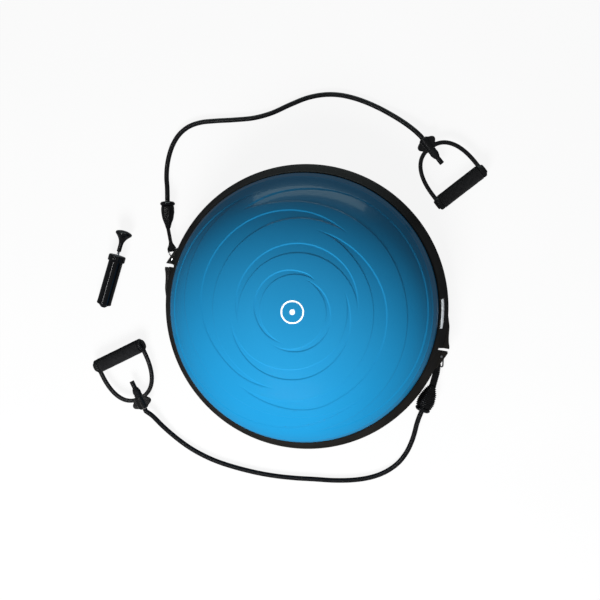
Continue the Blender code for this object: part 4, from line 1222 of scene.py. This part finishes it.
def make_pump():
    """The hand pump: glossy barrel, tip, notched cap, rod and flared knob."""
    lay = Matrix.Translation(PUMP_PLACE) @ Matrix.Rotation(-math.pi / 2, 4, "X")

    def add(name, profile, look, body, slot, node, steps=96, shape=None, radius=0.0008):
        mesh = turned(soften_turned(profile, radius), steps, lay, shape)
        new_piece(name, mesh, look, body, slot, node)

    def crown(radius, height, angle):
        if radius < 0.0166:
            return radius, height
        return radius - 0.0005 * (0.5 - 0.5 * math.cos(18 * angle)), height

    def flutes(radius, height, angle):
        if radius > 0.006 or radius < 0.003 or not 0.125 < height < 0.1345:
            return radius, height
        return radius - 0.0003 * (0.5 - 0.5 * math.cos(8 * angle)), height

    add("pump_body", [(0.0034, 0.006), (0.013, 0.006), (0.0153, 0.0076), (0.0153, 0.011), (0.015, 0.0114),
                      (0.015, 0.108), (0.0133, 0.108), (0.0133, 0.009), (0.0034, 0.009)],
        "gloss", "pump", "gloss_black", "pump_barrel")
    add("pump_tip", [(0.0012, 0.0), (0.004, 0.0), (0.0052, 0.0008), (0.0095, 0.0049), (0.0095, 0.0057),
                     (0.0031, 0.0057), (0.0031, 0.009), (0.0012, 0.009)],
        "gloss", "pump", "satin_black", "pump_nozzle", 64, None, 0.0004)
    add("pump_crown", [(0.0156, 0.101), (0.0168, 0.101), (0.018, 0.1022), (0.018, 0.1128), (0.0166, 0.1146),
                       (0.008, 0.115), (0.0028, 0.115), (0.0028, 0.1083), (0.0156, 0.1083)],
        "gloss", "pump", "satin_black", "pump_cap", 216, crown)
    add("pump_cup", [(0.0, 0.019), (0.013, 0.019), (0.013, 0.0224), (0.0108, 0.0224), (0.0108, 0.0256),
                     (0.013, 0.0256), (0.013, 0.029), (0.0, 0.029)],
        "satin", "pump_plunger", "satin_black", "pump_piston", 64, None, 0.0003)
    add("pump_oring", [(0.0111, 0.0228), (0.0131, 0.0234), (0.0131, 0.0246), (0.0111, 0.0252)],
        "rubber", "pump_plunger", "rubber", "pump_seal", 64, None, 0.0004)
    add("pump_shaft", [(0.0, 0.0293), (0.0025, 0.0293), (0.0025, 0.1227), (0.0, 0.1227)],
        "steel", "pump_plunger", "steel", "pump_rod", 48, None, 0.0003)
    knob = [(0.0, 0.123), (0.0044, 0.123), (0.0047, 0.1246), (0.0046, 0.137)]
    for step in range(1, 13):
        share = step / 12
        knob.append((0.0046 + 0.0124 * share ** 2.2, 0.137 + 0.023 * share))
    knob += [(0.0174, 0.1622), (0.0172, 0.1642), (0.015, 0.166), (0.011, 0.1675), (0.006, 0.1686),
             (0.0, 0.169)]
    add("pump_knob", knob, "gloss", "pump_plunger", "gloss_black", "pump_handle", 96, flutes, 0.0012)


# ---------------------------------------------------------------- the whole scene

def finish_kept_nodes():
    """Screws keep their CAD meshes and get the steel finish."""
    for index in range(SCREW_COUNT):
        node = frame["nodes"][f"clamp_screw_{index + 1}"]
        for place in node.material_slots:
            place.material = MATERIALS["steel"]


make_camera()
for one_cord in CORDS:
    make_cord(one_cord)
make_dome()
make_mark()
make_platform()
make_collar()
make_label()
make_feet()
make_valve()
make_pump()
finish_kept_nodes()
make_stage()
